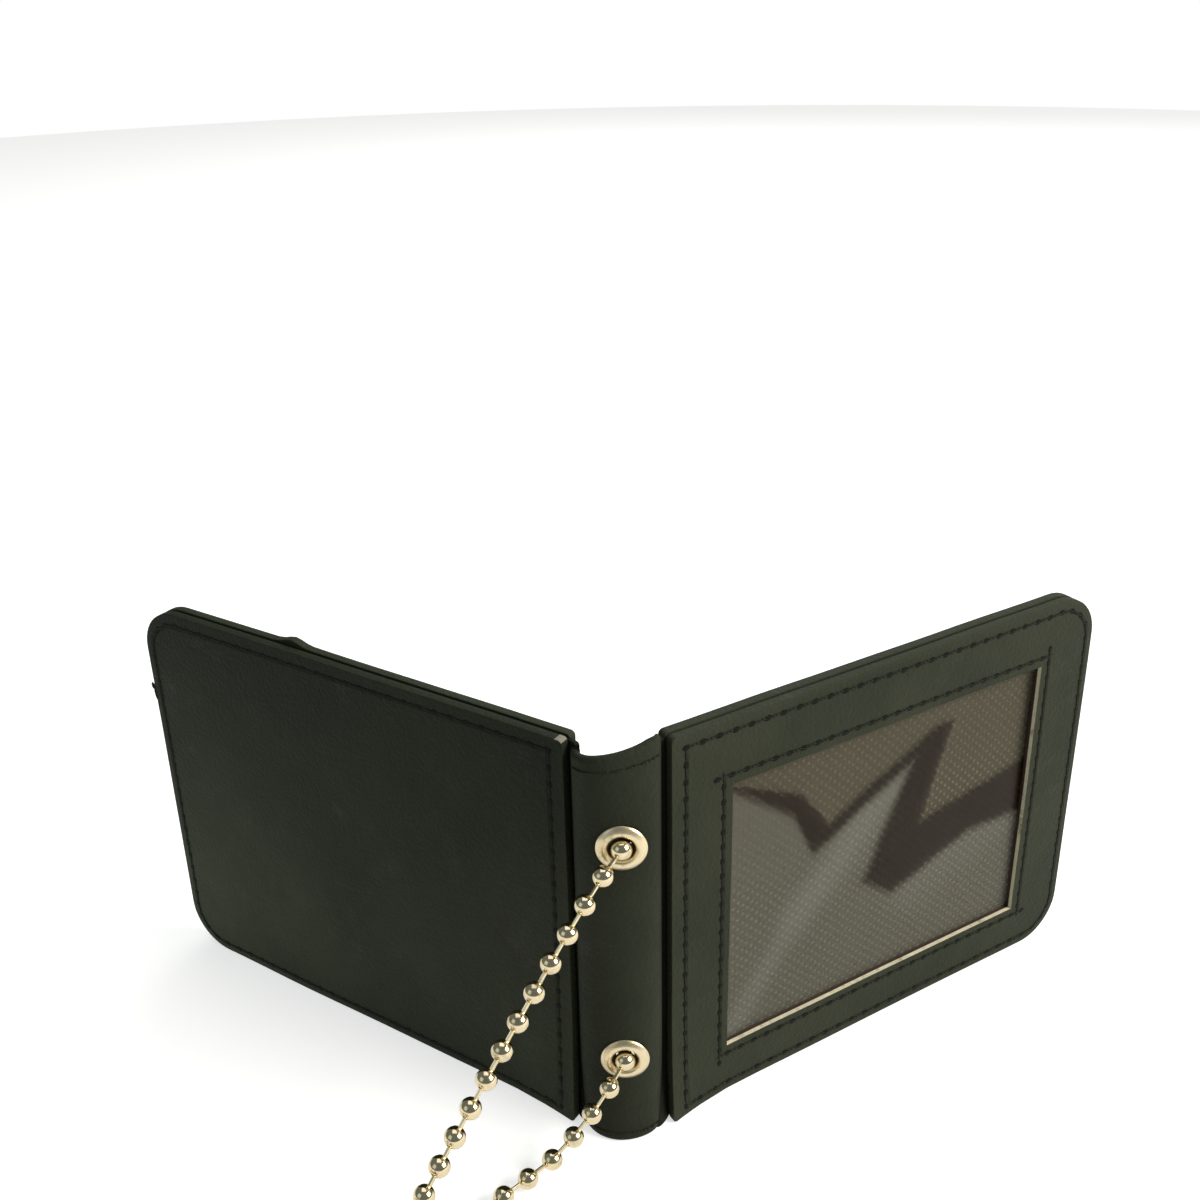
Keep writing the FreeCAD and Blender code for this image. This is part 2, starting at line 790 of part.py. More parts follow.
def make_chain():
    hole_y = fold_y - (S["spine_bow"] + S["cover_thick"] + S["ball_out"]).value
    hole_x = S["eyelet_side"].value
    upper_hole = Vector(hole_x, hole_y, EYELET_HEIGHT["upper"].value)
    lower_hole = Vector(hole_x, hole_y, EYELET_HEIGHT["lower"].value)
    width = 2 * BALL

    # coil
    whole = S["coil_travel_angle"].value
    spiral = (whole - 180) * HALF.value
    marks = [spiral * i / 8 for i in range(9)]
    marks += [spiral + 90, spiral + 180]
    marks += [spiral + 180 + spiral * i / 8 for i in range(1, 9)]
    path = [coil_point(mark) for mark in marks]
    enter = path[0] - coil_heading(0) * width
    leave = path[-1] + coil_heading(whole) * width
    edges = [Part.LineSegment(enter, path[0]).toShape()]
    for i in range(len(path) - 1):
        edges += biarc(path[i], coil_heading(marks[i]), path[i + 1], coil_heading(marks[i + 1]))
    edges.append(Part.LineSegment(path[-1], leave).toShape())
    coil = tube(edges, BALL)
    samples = []
    walked = 0
    for edge in edges:
        count = max(int(edge.Length), 1)
        for i in range(count):
            samples.append((walked + edge.Length * i / count, edge.valueAt(
                edge.getParameterByLength(edge.Length * i / count))))
        walked += edge.Length
    least = min(
        (a - b).Length for i, (s, a) in enumerate(samples) for t, b in samples[i + 1:] if t - s > 10 * BALL)
    print("coil length", round(walked, 1), "least gap to itself", round(least - width, 2))
    if least - width < S["least_gap"].value:
        raise RuntimeError("the coil's turns are too close")
    solid_feature("chain_coil", coil)

    # upper strand, from the ball in the upper eyelet to the coil
    bend = Vector(S["upper_bend_x"].value, fold_y + S["upper_bend_y"].value, S["upper_bend_z"].value)
    lead = enter - coil_heading(0) * S["upper_lead"].value
    edges = route_edges("upper strand", [upper_hole, bend, lead, enter])
    length = sum(edge.Length for edge in edges)
    count = int((length - BALL) / PITCH)
    bead("chain_upper_strand", edges, [PITCH * i for i in range(count + 1)])

    # lower strand, from the ball in the lower eyelet to the coil
    land = Vector(S["lower_land_x"].value, fold_y + S["lower_land_y"].value, S["lower_land_z"].value)
    turn = Vector(S["lower_bend_x"].value, fold_y + S["lower_bend_y"].value, S["lower_land_z"].value)
    lead = leave + coil_heading(whole) * S["lower_lead"].value
    edges = route_edges("lower strand", [lower_hole, land, turn, lead, leave])
    length = sum(edge.Length for edge in edges)
    count = int((length - BALL) / PITCH)
    bead("chain_lower_strand", edges, [PITCH * i for i in range(count + 1)])

    # stretches inside the spine, whose whole links fill the room that the connector leaves
    upper_first = Vector(0, fold_y, upper_hole.z - S["inner_step"].value)
    lower_first = Vector(0, fold_y, lower_hole.z + S["inner_step"].value)
    room = upper_first.z - lower_first.z - S["connector_seat_span"].value
    links = max(round(room / PITCH), 2)
    lower_ball = lower_first + Vector(0, 0, room / links)
    upper_ball = lower_ball + Vector(0, 0, S["connector_seat_span"].value)
    for label, hole, first, last, count in (
            ("chain_inner_upper", upper_hole, upper_first, upper_ball, links - 1),
            ("chain_inner_lower", lower_hole, lower_first, lower_ball, 1)):
        step = first - hole
        step.normalize()
        start = hole + step * BALL
        edges = [Part.LineSegment(start, first).toShape()]
        wire = tube(edges, LINK)
        down = tube([Part.LineSegment(first, last).toShape()], LINK)
        stride = (last - first) * (1 / count)
        balls = [Part.makeSphere(BALL, first + stride * i) for i in range(count + 1)]
        solid = wire.multiFuse([down] + balls).removeSplitter()
        solid_feature(label, solid.Solids[0])

    # connector: a folded sleeve, open towards the wallet's inside
    wall = S["connector_wall"]
    lower_end = lower_ball.z - BALL - S["connector_play"].value - wall.value
    upper_end = upper_ball.z + BALL + S["connector_play"].value + wall.value
    long = Size(upper_end - lower_end, "%r" % (upper_end - lower_end))
    half = S["connector_width"] * HALF
    depth = S["connector_depth"]
    back_y = -(depth * HALF)
    block = box("connector_block", (-half, back_y, ZERO), (S["connector_width"], depth, long))
    room = box(
        "connector_room", (wall - half, back_y + wall, wall),
        (S["connector_width"] - wall - wall, depth - wall - wall, long - wall - wall))
    gape = half - wall - S["connector_lip"]
    mouth = box("connector_mouth", (-gape, ZERO, wall), (gape + gape, depth, long - wall - wall))
    slot = S["connector_slot"] * HALF
    slots = box("connector_slots", (-slot, -slot, -wall), (slot + slot, depth, long + wall + wall))
    tools = fuse("connector_hollow", [room, mouth, slots])
    connector = cut("chain_connector", block, tools)
    doc.recompute()
    keep(connector, "chain_connector", Placement(Vector(0, fold_y, lower_end), Rotation()))

    # tie round the coil, as wide as the turns are where it crosses them
    first = (S["coil_enter_angle"].value - S["tie_angle"].value) % 360
    passes = [first + 360 * i for i in range(int((whole - first) / 360) + 1)]
    middle = Vector(S["coil_x"].value, fold_y + S["coil_y"].value, 0)
    radii = []
    for travel in passes:
        offset = coil_point(travel) - middle
        radii.append(math.hypot(offset.x, offset.y))
    spare = S["ball_radius"] + S["tie_play"] + S["tie_thick"]
    inner = Size(min(radii), "%r" % min(radii)) - spare
    outer = Size(max(radii), "%r" % max(radii)) + spare
    high = (S["coil_floor"] + S["coil_climb"] + S["ball_radius"] + S["tie_play"] + S["tie_thick"])
    low = S["coil_floor"] - S["ball_radius"] - S["tie_under"] - S["tie_thick"]
    side = -(S["tie_width"] * HALF)
    thick = S["tie_thick"]
    band = box("tie_band", (inner, side, low), (outer - inner, S["tie_width"], high - low))
    gap = box(
        "tie_room", (inner + thick, side - thick, low + thick),
        (outer - inner - thick - thick, S["tie_width"] + thick + thick, high - low - thick - thick))
    tie = cut("chain_tie", band, gap)
    doc.recompute()
    keep(tie, "chain_tie", Placement(middle, Rotation(Vector(0, 0, 1), S["tie_angle"].value)))


make_spine()
make_panel("front", 1)
make_panel("rear", -1)
make_stud()
make_socket()
doc.recompute()
make_chain()
doc.recompute()

for item in doc.Objects:
    if "Invalid" in item.State or "Error" in item.State:
        raise RuntimeError("not computed: " + item.Label)
os.makedirs("parts", exist_ok=True)
for item in NODES:
    shape = item.Shape
    if shape.isNull() or not shape.isValid() or shape.Volume <= 0:
        raise RuntimeError("bad shape: " + item.Label)
    shape.exportStep("parts/" + item.Label + ".step")
    bounds = shape.BoundBox
    print(item.Label, len(shape.Solids), round(shape.Volume, 1), [round(n, 1) for n in (
        bounds.XMin, bounds.XMax, bounds.YMin, bounds.YMax, bounds.ZMin, bounds.ZMax)])
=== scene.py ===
"""Id badge wallet: leather panels with clear windows, a spine with two eyelets, a magnetic
snap and a neck ball chain. Every piece is made in metres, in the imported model's frame."""
import json
import math

import bmesh
import bpy
from mathutils import Matrix, Vector, noise


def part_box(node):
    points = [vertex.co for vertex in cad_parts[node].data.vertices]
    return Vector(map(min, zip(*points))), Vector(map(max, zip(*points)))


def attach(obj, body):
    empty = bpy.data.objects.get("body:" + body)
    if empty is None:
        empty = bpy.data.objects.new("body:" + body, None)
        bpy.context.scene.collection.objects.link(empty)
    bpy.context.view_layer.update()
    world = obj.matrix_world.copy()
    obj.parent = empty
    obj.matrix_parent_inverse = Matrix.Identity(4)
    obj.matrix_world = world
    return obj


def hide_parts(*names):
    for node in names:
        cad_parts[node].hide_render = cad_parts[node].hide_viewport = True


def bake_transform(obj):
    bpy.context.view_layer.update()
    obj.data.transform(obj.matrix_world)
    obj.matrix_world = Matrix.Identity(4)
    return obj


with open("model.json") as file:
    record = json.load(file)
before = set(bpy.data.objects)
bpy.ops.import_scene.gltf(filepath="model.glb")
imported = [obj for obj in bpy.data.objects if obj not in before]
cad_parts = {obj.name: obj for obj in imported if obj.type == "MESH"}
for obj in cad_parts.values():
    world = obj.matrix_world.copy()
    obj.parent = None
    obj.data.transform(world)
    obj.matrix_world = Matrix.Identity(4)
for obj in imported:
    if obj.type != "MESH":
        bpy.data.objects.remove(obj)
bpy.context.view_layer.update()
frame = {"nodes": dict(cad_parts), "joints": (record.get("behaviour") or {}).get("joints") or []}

bl_info = {
    "name": "Id Badge Wallet",
    "version": (1, 0, 0),
    "blender": (4, 5, 0),
    "location": "3D View > Sidebar > Badge Wallet",
    "description": "Dresses the folding badge wallet: leather, windows, snap, eyelets and ball chain",
    "category": "Object",
}

MM = 0.001
ORIGIN = (0, 0, 0)
FOLD_X, FOLD_Y, _ = next(
    joint["pos_m"] for joint in frame["joints"] if joint["name"] == "front_fold")
SIDES = {"front": 1, "rear": -1}
# window edges of each panel: start and end along the panel, bottom and top
WINDOWS = {
    "front": (14.8 * MM, 94.4 * MM, 11.4 * MM, 73.5 * MM),
    "rear": (13.9 * MM, 89.7 * MM, 13.3 * MM, 74.1 * MM)}


# ---------------------------------------------------------------- sizes and colours

def length(label, text, millimetres):
    return bpy.props.FloatProperty(
        name=label, description=text, default=millimetres * MM, unit="LENGTH", precision=5)


def angle(label, text, degrees):
    return bpy.props.FloatProperty(
        name=label, description=text, default=math.radians(degrees), subtype="ANGLE")


def colour(label, text, value):
    return bpy.props.FloatVectorProperty(
        name=label, description=text, default=value, size=3, subtype="COLOR", min=0, max=1)


class WalletPanelSettings(bpy.types.PropertyGroup):
    """Sizes and colours of the two window panels."""
    width: length("Width", "Length of a panel from its fold edge to its free edge", 107.6)
    height: length("Height", "Height of a panel", 87.4)
    free_corner: length("Free corner", "Radius of the corners on the free edge", 10.0)
    fold_corner: length("Fold corner", "Radius of the corners on the fold edge", 0.9)
    fold_gap: length("Fold gap", "Distance from the fold line to the panel's edge", 1.3)
    thickness: length("Thickness", "Plain plate, card slot and window plate together", 4.4)
    facing_top: length("Plain plate", "Thickness of the plain plate", 1.95)
    frame_start: length("Slot mouth", "Height over the plain face at which the window plate starts", 2.65)
    board: length("Board", "Thickness of the board that shows under the window's cut leather", 0.85)
    edge_round: length("Edge rounding", "Rounding of the turned leather edges", 0.6)
    hem: length("Hem", "Depth of the hem between the plates", 6.0)
    cell: length("Cell", "Size of the plates' mesh cells", 7.0)
    open_angle: angle("Open angle", "Half the angle between the opened panels", 57.6)
    stitch_top: length("Top stitch", "Distance of the stitch row from the panel's top edge", 2.7)
    stitch_fold: length("Fold stitch", "Distance of the stitch row from the panel's fold edge", 3.06)
    stitch_side: length("Side stitch", "Distance of the stitch row from the free and bottom edges", 1.9)
    window_stitch: length("Window stitch", "Distance of the stitch row from the window's edge", 2.0)
    stitch_pitch: length("Stitch pitch", "Distance between stitches", 3.6)
    stitch_length: length("Stitch length", "Length of one stitch", 3.0)
    stitch_width: length("Stitch width", "Width of the thread", 0.46)
    hole_width: length("Hole width", "Width of a needle hole", 1.25)
    leather: colour("Leather", "Colour of the black leather", (0.0300, 0.0345, 0.0215))
    thread: colour("Thread", "Colour of the stitching", (0.0165, 0.0185, 0.0115))
    cut_edge: colour("Cut edge", "Colour of the raw edge round the window", (0.86, 0.80, 0.60))
    weave: colour("Weave", "Colour of the woven pocket backing", (0.088, 0.078, 0.052))


class WalletSpineSettings(bpy.types.PropertyGroup):
    """Sizes and colours of the spine strip and its eyelets."""
    height: length("Height", "Height of the spine strip", 87.0)
    half_width: length("Half width", "Distance of the grooves beside the strip from its middle", 8.2)
    groove: length("Groove", "How much wider the right groove is than the left one", 0.5)
    bow: length("Bow", "How far the strip's face stands out from the fold lines", 5.6)
    tuck: length("Tuck", "How far in front of the fold lines the strip is widest", 0.9)
    wrap: angle("Wrap", "Turn from the strip's middle to its hidden ends", 104)
    thickness: length("Thickness", "Leather, lining and turned hem together", 2.5)
    skin: length("Skin", "Thickness of the strip's leather", 0.35)
    top_hem: length("Top hem", "Depth of the hem turned in at the top", 9.0)
    bottom_hem: length("Bottom hem", "Depth of the hem turned in at the bottom", 5.0)
    upper_eyelet: length("Upper eyelet", "Height of the upper eyelet", 68.0)
    lower_eyelet: length("Lower eyelet", "Height of the lower eyelet", 19.2)
    eyelet_side: length("Eyelet side", "Distance of the eyelets from the strip's middle", 0.5)
    lining: colour("Lining", "Colour of the glossy lining", (0.010, 0.011, 0.008))


class WalletMetalSettings(bpy.types.PropertyGroup):
    """Sizes and colours of the chain and the other metal parts."""
    ball_radius: length("Ball radius", "Radius of a chain ball", 2.0)
    ball_pitch: length("Ball pitch", "Distance between chain balls", 5.8)
    link_radius: length("Link radius", "Radius of the wire between balls", 0.42)
    snap_reach: length("Snap reach", "Distance of the snap from the fold line", 96.0)
    snap_height: length("Snap height", "Height of the snap's middle", 46.6)
    nickel: colour("Nickel", "Colour of the warm nickel plating", (0.76, 0.645, 0.43))
    tie: colour("Tie", "Colour of the tie round the put-away chain", (0.02, 0.02, 0.02))


class WalletStageSettings(bpy.types.PropertyGroup):
    """Camera and floor."""
    lens: bpy.props.FloatProperty(
        name="Lens", description="Focal length on a 36 mm wide sensor", default=43.035, unit="CAMERA")
    distance: length("Distance", "Distance from the camera to its target", 270.45)
    target: bpy.props.FloatVectorProperty(
        name="Target", description="Point that the camera looks at",
        default=(-0.002903, 0.001984, 0.100084), size=3, subtype="TRANSLATION")
    azimuth: angle("Azimuth", "Turn of the camera round the wallet", 1.073)
    elevation: angle("Elevation", "Height of the camera over the horizon", 25.666)
    roll: angle("Roll", "Tilt of the camera about its own line of sight", 1.354)
    floor: colour("Floor", "Colour of the floor", (0.74, 0.74, 0.735))


# ---------------------------------------------------------------- nodes

def put(tree, kind, inputs=None, **settings):
    """Adds a node, sets it up, and links or sets its inputs."""
    made = tree.nodes.new(kind)
    for key, value in settings.items():
        setattr(made, key, value)
    for key, value in (inputs or {}).items():
        if isinstance(value, bpy.types.NodeSocket):
            tree.links.new(value, made.inputs[key])
        else:
            made.inputs[key].default_value = value
    return made


def calc(tree, operation, a, b=0.0, clamp=False):
    made = put(tree, "ShaderNodeMath", {0: a, 1: b}, operation=operation, use_clamp=clamp)
    return made.outputs[0]


def plus(tree, a, b):
    return calc(tree, "ADD", a, b)


def minus(tree, a, b):
    return calc(tree, "SUBTRACT", a, b)


def times(tree, a, b):
    return calc(tree, "MULTIPLY", a, b)


def most(tree, a, b):
    return calc(tree, "MAXIMUM", a, b)


def whole_of(tree, operation, values):
    """One value out of several, such as the greatest."""
    whole, *rest = values
    for value in rest:
        whole = calc(tree, operation, whole, value)
    return whole


def vec(tree, operation, a, b=None):
    """A vector sum. The second value is a vector, or a number for SCALE."""
    inputs = {0: a}
    if b is not None:
        inputs["Scale" if operation == "SCALE" else 1] = b
    made = put(tree, "ShaderNodeVectorMath", inputs, operation=operation)
    return made.outputs["Value" if operation in ("LENGTH", "DOT_PRODUCT") else "Vector"]


def axes(tree, vector):
    return put(tree, "ShaderNodeSeparateXYZ", {0: vector}).outputs


def clouds(tree, vector, scale, detail, roughness=0.5, stretch=None):
    """Noise, its pattern pressed together along each axis where asked."""
    if stretch:
        vector = put(tree, "ShaderNodeMapping", {"Vector": vector, "Scale": stretch}).outputs[0]
    return put(tree, "ShaderNodeTexNoise", {
        "Vector": vector, "Scale": scale, "Detail": detail, "Roughness": roughness}).outputs


def flat_map(tree):
    return put(tree, "ShaderNodeUVMap", uv_map="panel").outputs[0]


def span(tree, value, low, high, to_low=0.0, to_high=1.0):
    """A smooth change of value from low to high."""
    made = put(tree, "ShaderNodeMapRange", {
        "Value": value, "From Min": low, "From Max": high, "To Min": to_low, "To Max": to_high,
    }, interpolation_type="SMOOTHSTEP")
    return made.outputs["Result"]


def mix_colour(tree, share, a, b):
    made = put(tree, "ShaderNodeMix", {0: share}, data_type="RGBA")
    for socket, value in ((made.inputs[6], a), (made.inputs[7], b)):
        if isinstance(value, bpy.types.NodeSocket):
            tree.links.new(value, socket)
        else:
            socket.default_value = (*value, 1.0)
    return made.outputs[2]


def shade(value, share):
    """A colour made lighter or darker by a share."""
    return tuple(min(part * share, 1.0) for part in value)


def new_group(name, inputs, outputs):
    """A shader group. Its inputs are numbers or vectors, as their first values are, and its
    outputs are numbers."""
    group = bpy.data.node_groups.new(name, "ShaderNodeTree")
    for label, value in inputs.items():
        kind = "NodeSocketFloat" if isinstance(value, float) else "NodeSocketVector"
        socket = group.interface.new_socket(label, in_out="INPUT", socket_type=kind)
        socket.default_value = value
    for label in outputs:
        group.interface.new_socket(label, in_out="OUTPUT", socket_type="NodeSocketFloat")
    return group, put(group, "NodeGroupInput").outputs, put(group, "NodeGroupOutput").inputs


def use_group(tree, name, inputs):
    return put(tree, "ShaderNodeGroup", inputs, node_tree=bpy.data.node_groups[name]).outputs


def worn(tree, spot, scale, amount):
    return use_group(tree, "handling_wear", {"Vector": spot, "Scale": scale, "Amount": amount})["Mask"]


# ---------------------------------------------------------------- shared effects

def grain_group():
    """Fine pebbled leather grain with pores, and a slow change of tone."""
    group, start, end = new_group(
        "leather_grain", {"Vector": ORIGIN, "Pebbles": 1300.0}, ["Height", "Tone"])
    vector = start["Vector"]
    drift = clouds(group, vector, 420.0, 2.0)["Color"]
    moved = vec(group, "ADD", vector, vec(group, "MULTIPLY", drift, (0.6 * MM,) * 3))
    pebbles = put(group, "ShaderNodeTexVoronoi", {
        "Vector": moved, "Scale": start["Pebbles"], "Smoothness": 0.35}, feature="SMOOTH_F1")
    pores = times(group, clouds(group, vector, 3600.0, 2.0)["Fac"], 0.55)
    slow = clouds(group, vector, 38.0, 4.0, 0.6)["Fac"]
    group.links.new(minus(group, pores, pebbles.outputs["Distance"]), end["Height"])
    group.links.new(span(group, slow, 0.3, 0.7), end["Tone"])


def wear_group():
    """A mask of scuffs and handling marks."""
    group, start, end = new_group(
        "handling_wear", {"Vector": ORIGIN, "Scale": 160.0, "Amount": 0.5}, ["Mask"])
    patches = span(group, clouds(group, start["Vector"], start["Scale"], 6.0, 0.7)["Fac"], 0.52, 0.72)
    group.links.new(times(group, patches, start["Amount"]), end["Mask"])


def seam_group(panel):
    """Sunken lines under the stitch rows, on the panel's own flat map in metres."""
    group, start, end = new_group(
        "stitch_seam",
        {"Vector": ORIGIN, "Window Middle": ORIGIN, "Window Half": ORIGIN, "Window Rows": 1.0},
        ["Seam", "Edge"])
    vector = start["Vector"]
    along = axes(group, vector)[0]

    def rim(centre, reach):
        away = vec(group, "ABSOLUTE", vec(group, "SUBTRACT", vector, centre))
        return vec(group, "SUBTRACT", away, reach)

    def outline(side, top, fold):
        """Distance past an outline that lies inside the panel's own by those amounts."""
        radius = panel.free_corner - side
        low, high = -panel.free_corner, panel.fold_gap + panel.width - side
        bottom, roof = side, panel.height - top
        over = rim(
            ((low + high) / 2, (bottom + roof) / 2, 0),
            ((high - low) / 2 - radius, (roof - bottom) / 2 - radius, 0))
        far = vec(group, "LENGTH", vec(group, "MAXIMUM", over, ORIGIN))
        past = axes(group, over)
        inside = calc(group, "MINIMUM", most(group, past[0], past[1]), 0.0)
        distance = minus(group, plus(group, far, inside), radius)
        return most(group, distance, minus(group, panel.fold_gap + fold, along))

    def line(away, width):
        return span(group, calc(group, "ABSOLUTE", away), 0.1 * MM, width * MM, 1.0, 0.0)

    outer = line(outline(panel.stitch_side, panel.stitch_top, panel.stitch_fold), 0.75)
    past = axes(group, rim(start["Window Middle"], start["Window Half"]))
    inner = line(minus(group, most(group, past[0], past[1]), panel.window_stitch), 0.7)
    inner = times(group, inner, start["Window Rows"])
    group.links.new(most(group, outer, inner), end["Seam"])
    group.links.new(span(group, outline(0.0, 0.0, 0.0), -1.6 * MM, -0.1 * MM), end["Edge"])


def floats_group():
    """A mask of the weave's small floats, in staggered rows."""
    group, start, end = new_group("weave_floats", {"Vector": ORIGIN}, ["Mask"])
    flat = start["Vector"]
    wobble = clouds(group, flat, 130.0, 2.0)["Color"]
    push = vec(group, "MULTIPLY", wobble, (0.5 * MM, 0.5 * MM, 0))
    place = axes(group, vec(group, "ADD", flat, push))
    across, up = (
        calc(group, "SINE", times(group, place[axis], 2 * math.pi / (pitch * MM)))
        for axis, pitch in ((0, 2.27), (1, 2.17)))
    group.links.new(span(group, times(group, across, up), 0.3, 0.9), end["Mask"])


def crease_group():
    """A soft line between two points of the flat map."""
    group, start, end = new_group(
        "film_crease", {"Vector": ORIGIN, "From": ORIGIN, "To": ORIGIN, "Width": 0.002}, ["Mask"])
    run = vec(group, "SUBTRACT", start["To"], start["From"])
    away = vec(group, "SUBTRACT", start["Vector"], start["From"])
    share = calc(
        group, "DIVIDE", vec(group, "DOT_PRODUCT", away, run), vec(group, "DOT_PRODUCT", run, run),
        clamp=True)
    gap = vec(group, "LENGTH", vec(group, "SUBTRACT", away, vec(group, "SCALE", run, share)))
    near = calc(group, "DIVIDE", gap, start["Width"])
    group.links.new(span(group, near, 0.05, 1.0, 1.0, 0.0), end["Mask"])


# ---------------------------------------------------------------- materials

def new_material(name, roughness=0.5, specular=0.5, metallic=0.0):
    """A Principled material: its tree, its shader and Object coordinates."""
    made = bpy.data.materials.new(name)
    made.use_nodes = True
    tree = made.node_tree
    tree.nodes.clear()
    shader = put(tree, "ShaderNodeBsdfPrincipled", {
        "Metallic": metallic, "Roughness": roughness, "Specular IOR Level": specular})
    put(tree, "ShaderNodeOutputMaterial", {"Surface": shader.outputs[0]})
    return made, tree, shader, put(tree, "ShaderNodeTexCoord").outputs["Object"]


def dress(tree, shader, tone, rough=None, height=None, depth=0.0):
    """Links a material's colour, its roughness and its bump."""
    tree.links.new(tone, shader.inputs["Base Color"])
    if rough is not None:
        tree.links.new(rough, shader.inputs["Roughness"])
    if height is not None:
        relief = put(tree, "ShaderNodeBump", {"Height": height, "Distance": depth * MM, "Strength": 1.0})
        tree.links.new(relief.outputs[0], shader.inputs["Normal"])


def leather_material(name, panel, tint, window=None, rows=1.0, painted_gradient=False):
    """Black leather: grain, slow mottle, worn edges and, on a panel, sunken stitch lines darkened with
    painted shade, and where asked a painted gradient of light and shade.
    """
    _, tree, shader, spot = new_material(name, specular=0.09)
    grain = use_group(tree, "leather_grain", {"Vector": spot, "Pebbles": 1250.0})
    tone = mix_colour(tree, grain["Tone"], shade(tint, 0.86), shade(tint, 1.16))
    height = times(tree, grain["Height"], 0.10)
    rough = span(tree, worn(tree, spot, 90.0, 0.6), 0.0, 0.6, 0.58, 0.46)
    if window is not None:
        low, high, bottom, top = window
        flat = flat_map(tree)
        seam = use_group(tree, "stitch_seam", {
            "Vector": flat, "Window Middle": ((low + high) / 2, (bottom + top) / 2, 0),
            "Window Half": ((high - low) / 2, (top - bottom) / 2, 0), "Window Rows": rows})
        tone = mix_colour(tree, times(tree, seam["Edge"], 0.4), tone, shade(tint, 1.35))
        # painted shade: the stitch lines are darkened as if shade lay in their groove
        tone = mix_colour(tree, times(tree, seam["Seam"], 0.2), tone, shade(tint, 0.45))
        height = minus(tree, height, times(tree, seam["Seam"], 0.14))
        # painted light: the rear plain plate is painted darker at its top and paler at its free lower corner
        if painted_gradient:
            tone = paint_light_gradient(tree, panel, flat, spot, tone)
    dress(tree, shader, tone, rough, height, 1.0)


def paint_light_gradient(tree, panel, flat, spot, tone):
    """Paints light and shade onto a face: darker towards its top and paler towards its free lower corner,
    with faint smudges of wear.
    """
    place = axes(tree, flat)
    down = span(tree, place[1], 0.0, panel.height, 1.0, 0.0)
    out = span(tree, place[0], panel.width * 0.45, panel.width * 0.98)
    painted_brightening = plus(tree, 0.64, times(tree, out, 1.1))
    painted_brightening = plus(tree, painted_brightening, times(tree, worn(tree, spot, 34.0, 0.5), 0.3))
    return vec(tree, "SCALE", tone, plus(tree, 0.6, times(tree, down, painted_brightening)))


def raw_edge_material(name, tint, dirt):
    """The cut edge of leather or board, with fibres along it and some dirt."""
    _, tree, shader, spot = new_material(name, roughness=0.85, specular=0.2)
    fibres = clouds(tree, spot, 900.0, 3.0, stretch=(1.0, 1.0, 6.0))["Fac"]
    tone = mix_colour(tree, fibres, shade(tint, 0.72), shade(tint, 1.12))
    tone = mix_colour(tree, worn(tree, spot, 260.0, 0.9), tone, dirt)
    dress(tree, shader, tone, None, fibres, 0.1)


def thread_material(name, tint):
    """Twisted thread."""
    _, tree, shader, spot = new_material(name, specular=0.08)
    turn = put(tree, "ShaderNodeMapping", {"Vector": spot, "Rotation": (0.7, 0.5, 0.8)}).outputs[0]
    twist = put(tree, "ShaderNodeTexWave", {
        "Vector": turn, "Scale": 900.0, "Distortion": 1.5}).outputs["Fac"]
    tone = mix_colour(tree, twist, shade(tint, 0.6), shade(tint, 1.6))
    dress(tree, shader, tone, span(tree, twist, 0, 1, 0.6, 0.45), twist, 0.08)


def weave_material(name, tint, pale):
    """A close twill with small pale floats in staggered rows, on the panel's flat map. The floats
    show less towards the top."""
    _, tree, shader, _ = new_material(name, roughness=0.8, specular=0.2)
    flat = flat_map(tree)
    dots = use_group(tree, "weave_floats", {"Vector": flat})["Mask"]
    fuzz = clouds(tree, flat, 2400.0, 2.0)["Fac"]
    slow = clouds(tree, flat, 60.0, 3.0)["Fac"]
    tone = mix_colour(tree, fuzz, shade(tint, 0.72), shade(tint, 1.18))
    tone = mix_colour(tree, times(tree, slow, 0.35), tone, shade(tint, 0.6))
    show = span(tree, axes(tree, flat)[1], 38.0 * MM, 62.0 * MM, 0.55, 0.22)
    tone = mix_colour(tree, times(tree, dots, show), tone, pale)
    dress(tree, shader, tone, None, dots, 0.06)


def slants(tree, along, lines):
    """The least of some straight lines, given by slope and height in mm."""
    return whole_of(tree, "MINIMUM", [
        put(tree, "ShaderNodeMath", {0: along, 1: slope, 2: height * MM}, operation="MULTIPLY_ADD").outputs[0]
        for slope, height in lines])


def film_patch(tree, u, v, roofs, leaning, floors):
    """How far a place is inside a patch of film: under one of its roofs, and left of its leaning
    line or under one of its floors."""
    def under(tables):
        return whole_of(tree, "MAXIMUM", [minus(tree, slants(tree, u, lines), v) for lines in tables])

    left = minus(tree, slants(tree, v, [leaning]), u)
    return calc(tree, "MINIMUM", under(roofs), most(tree, left, under(floors)))
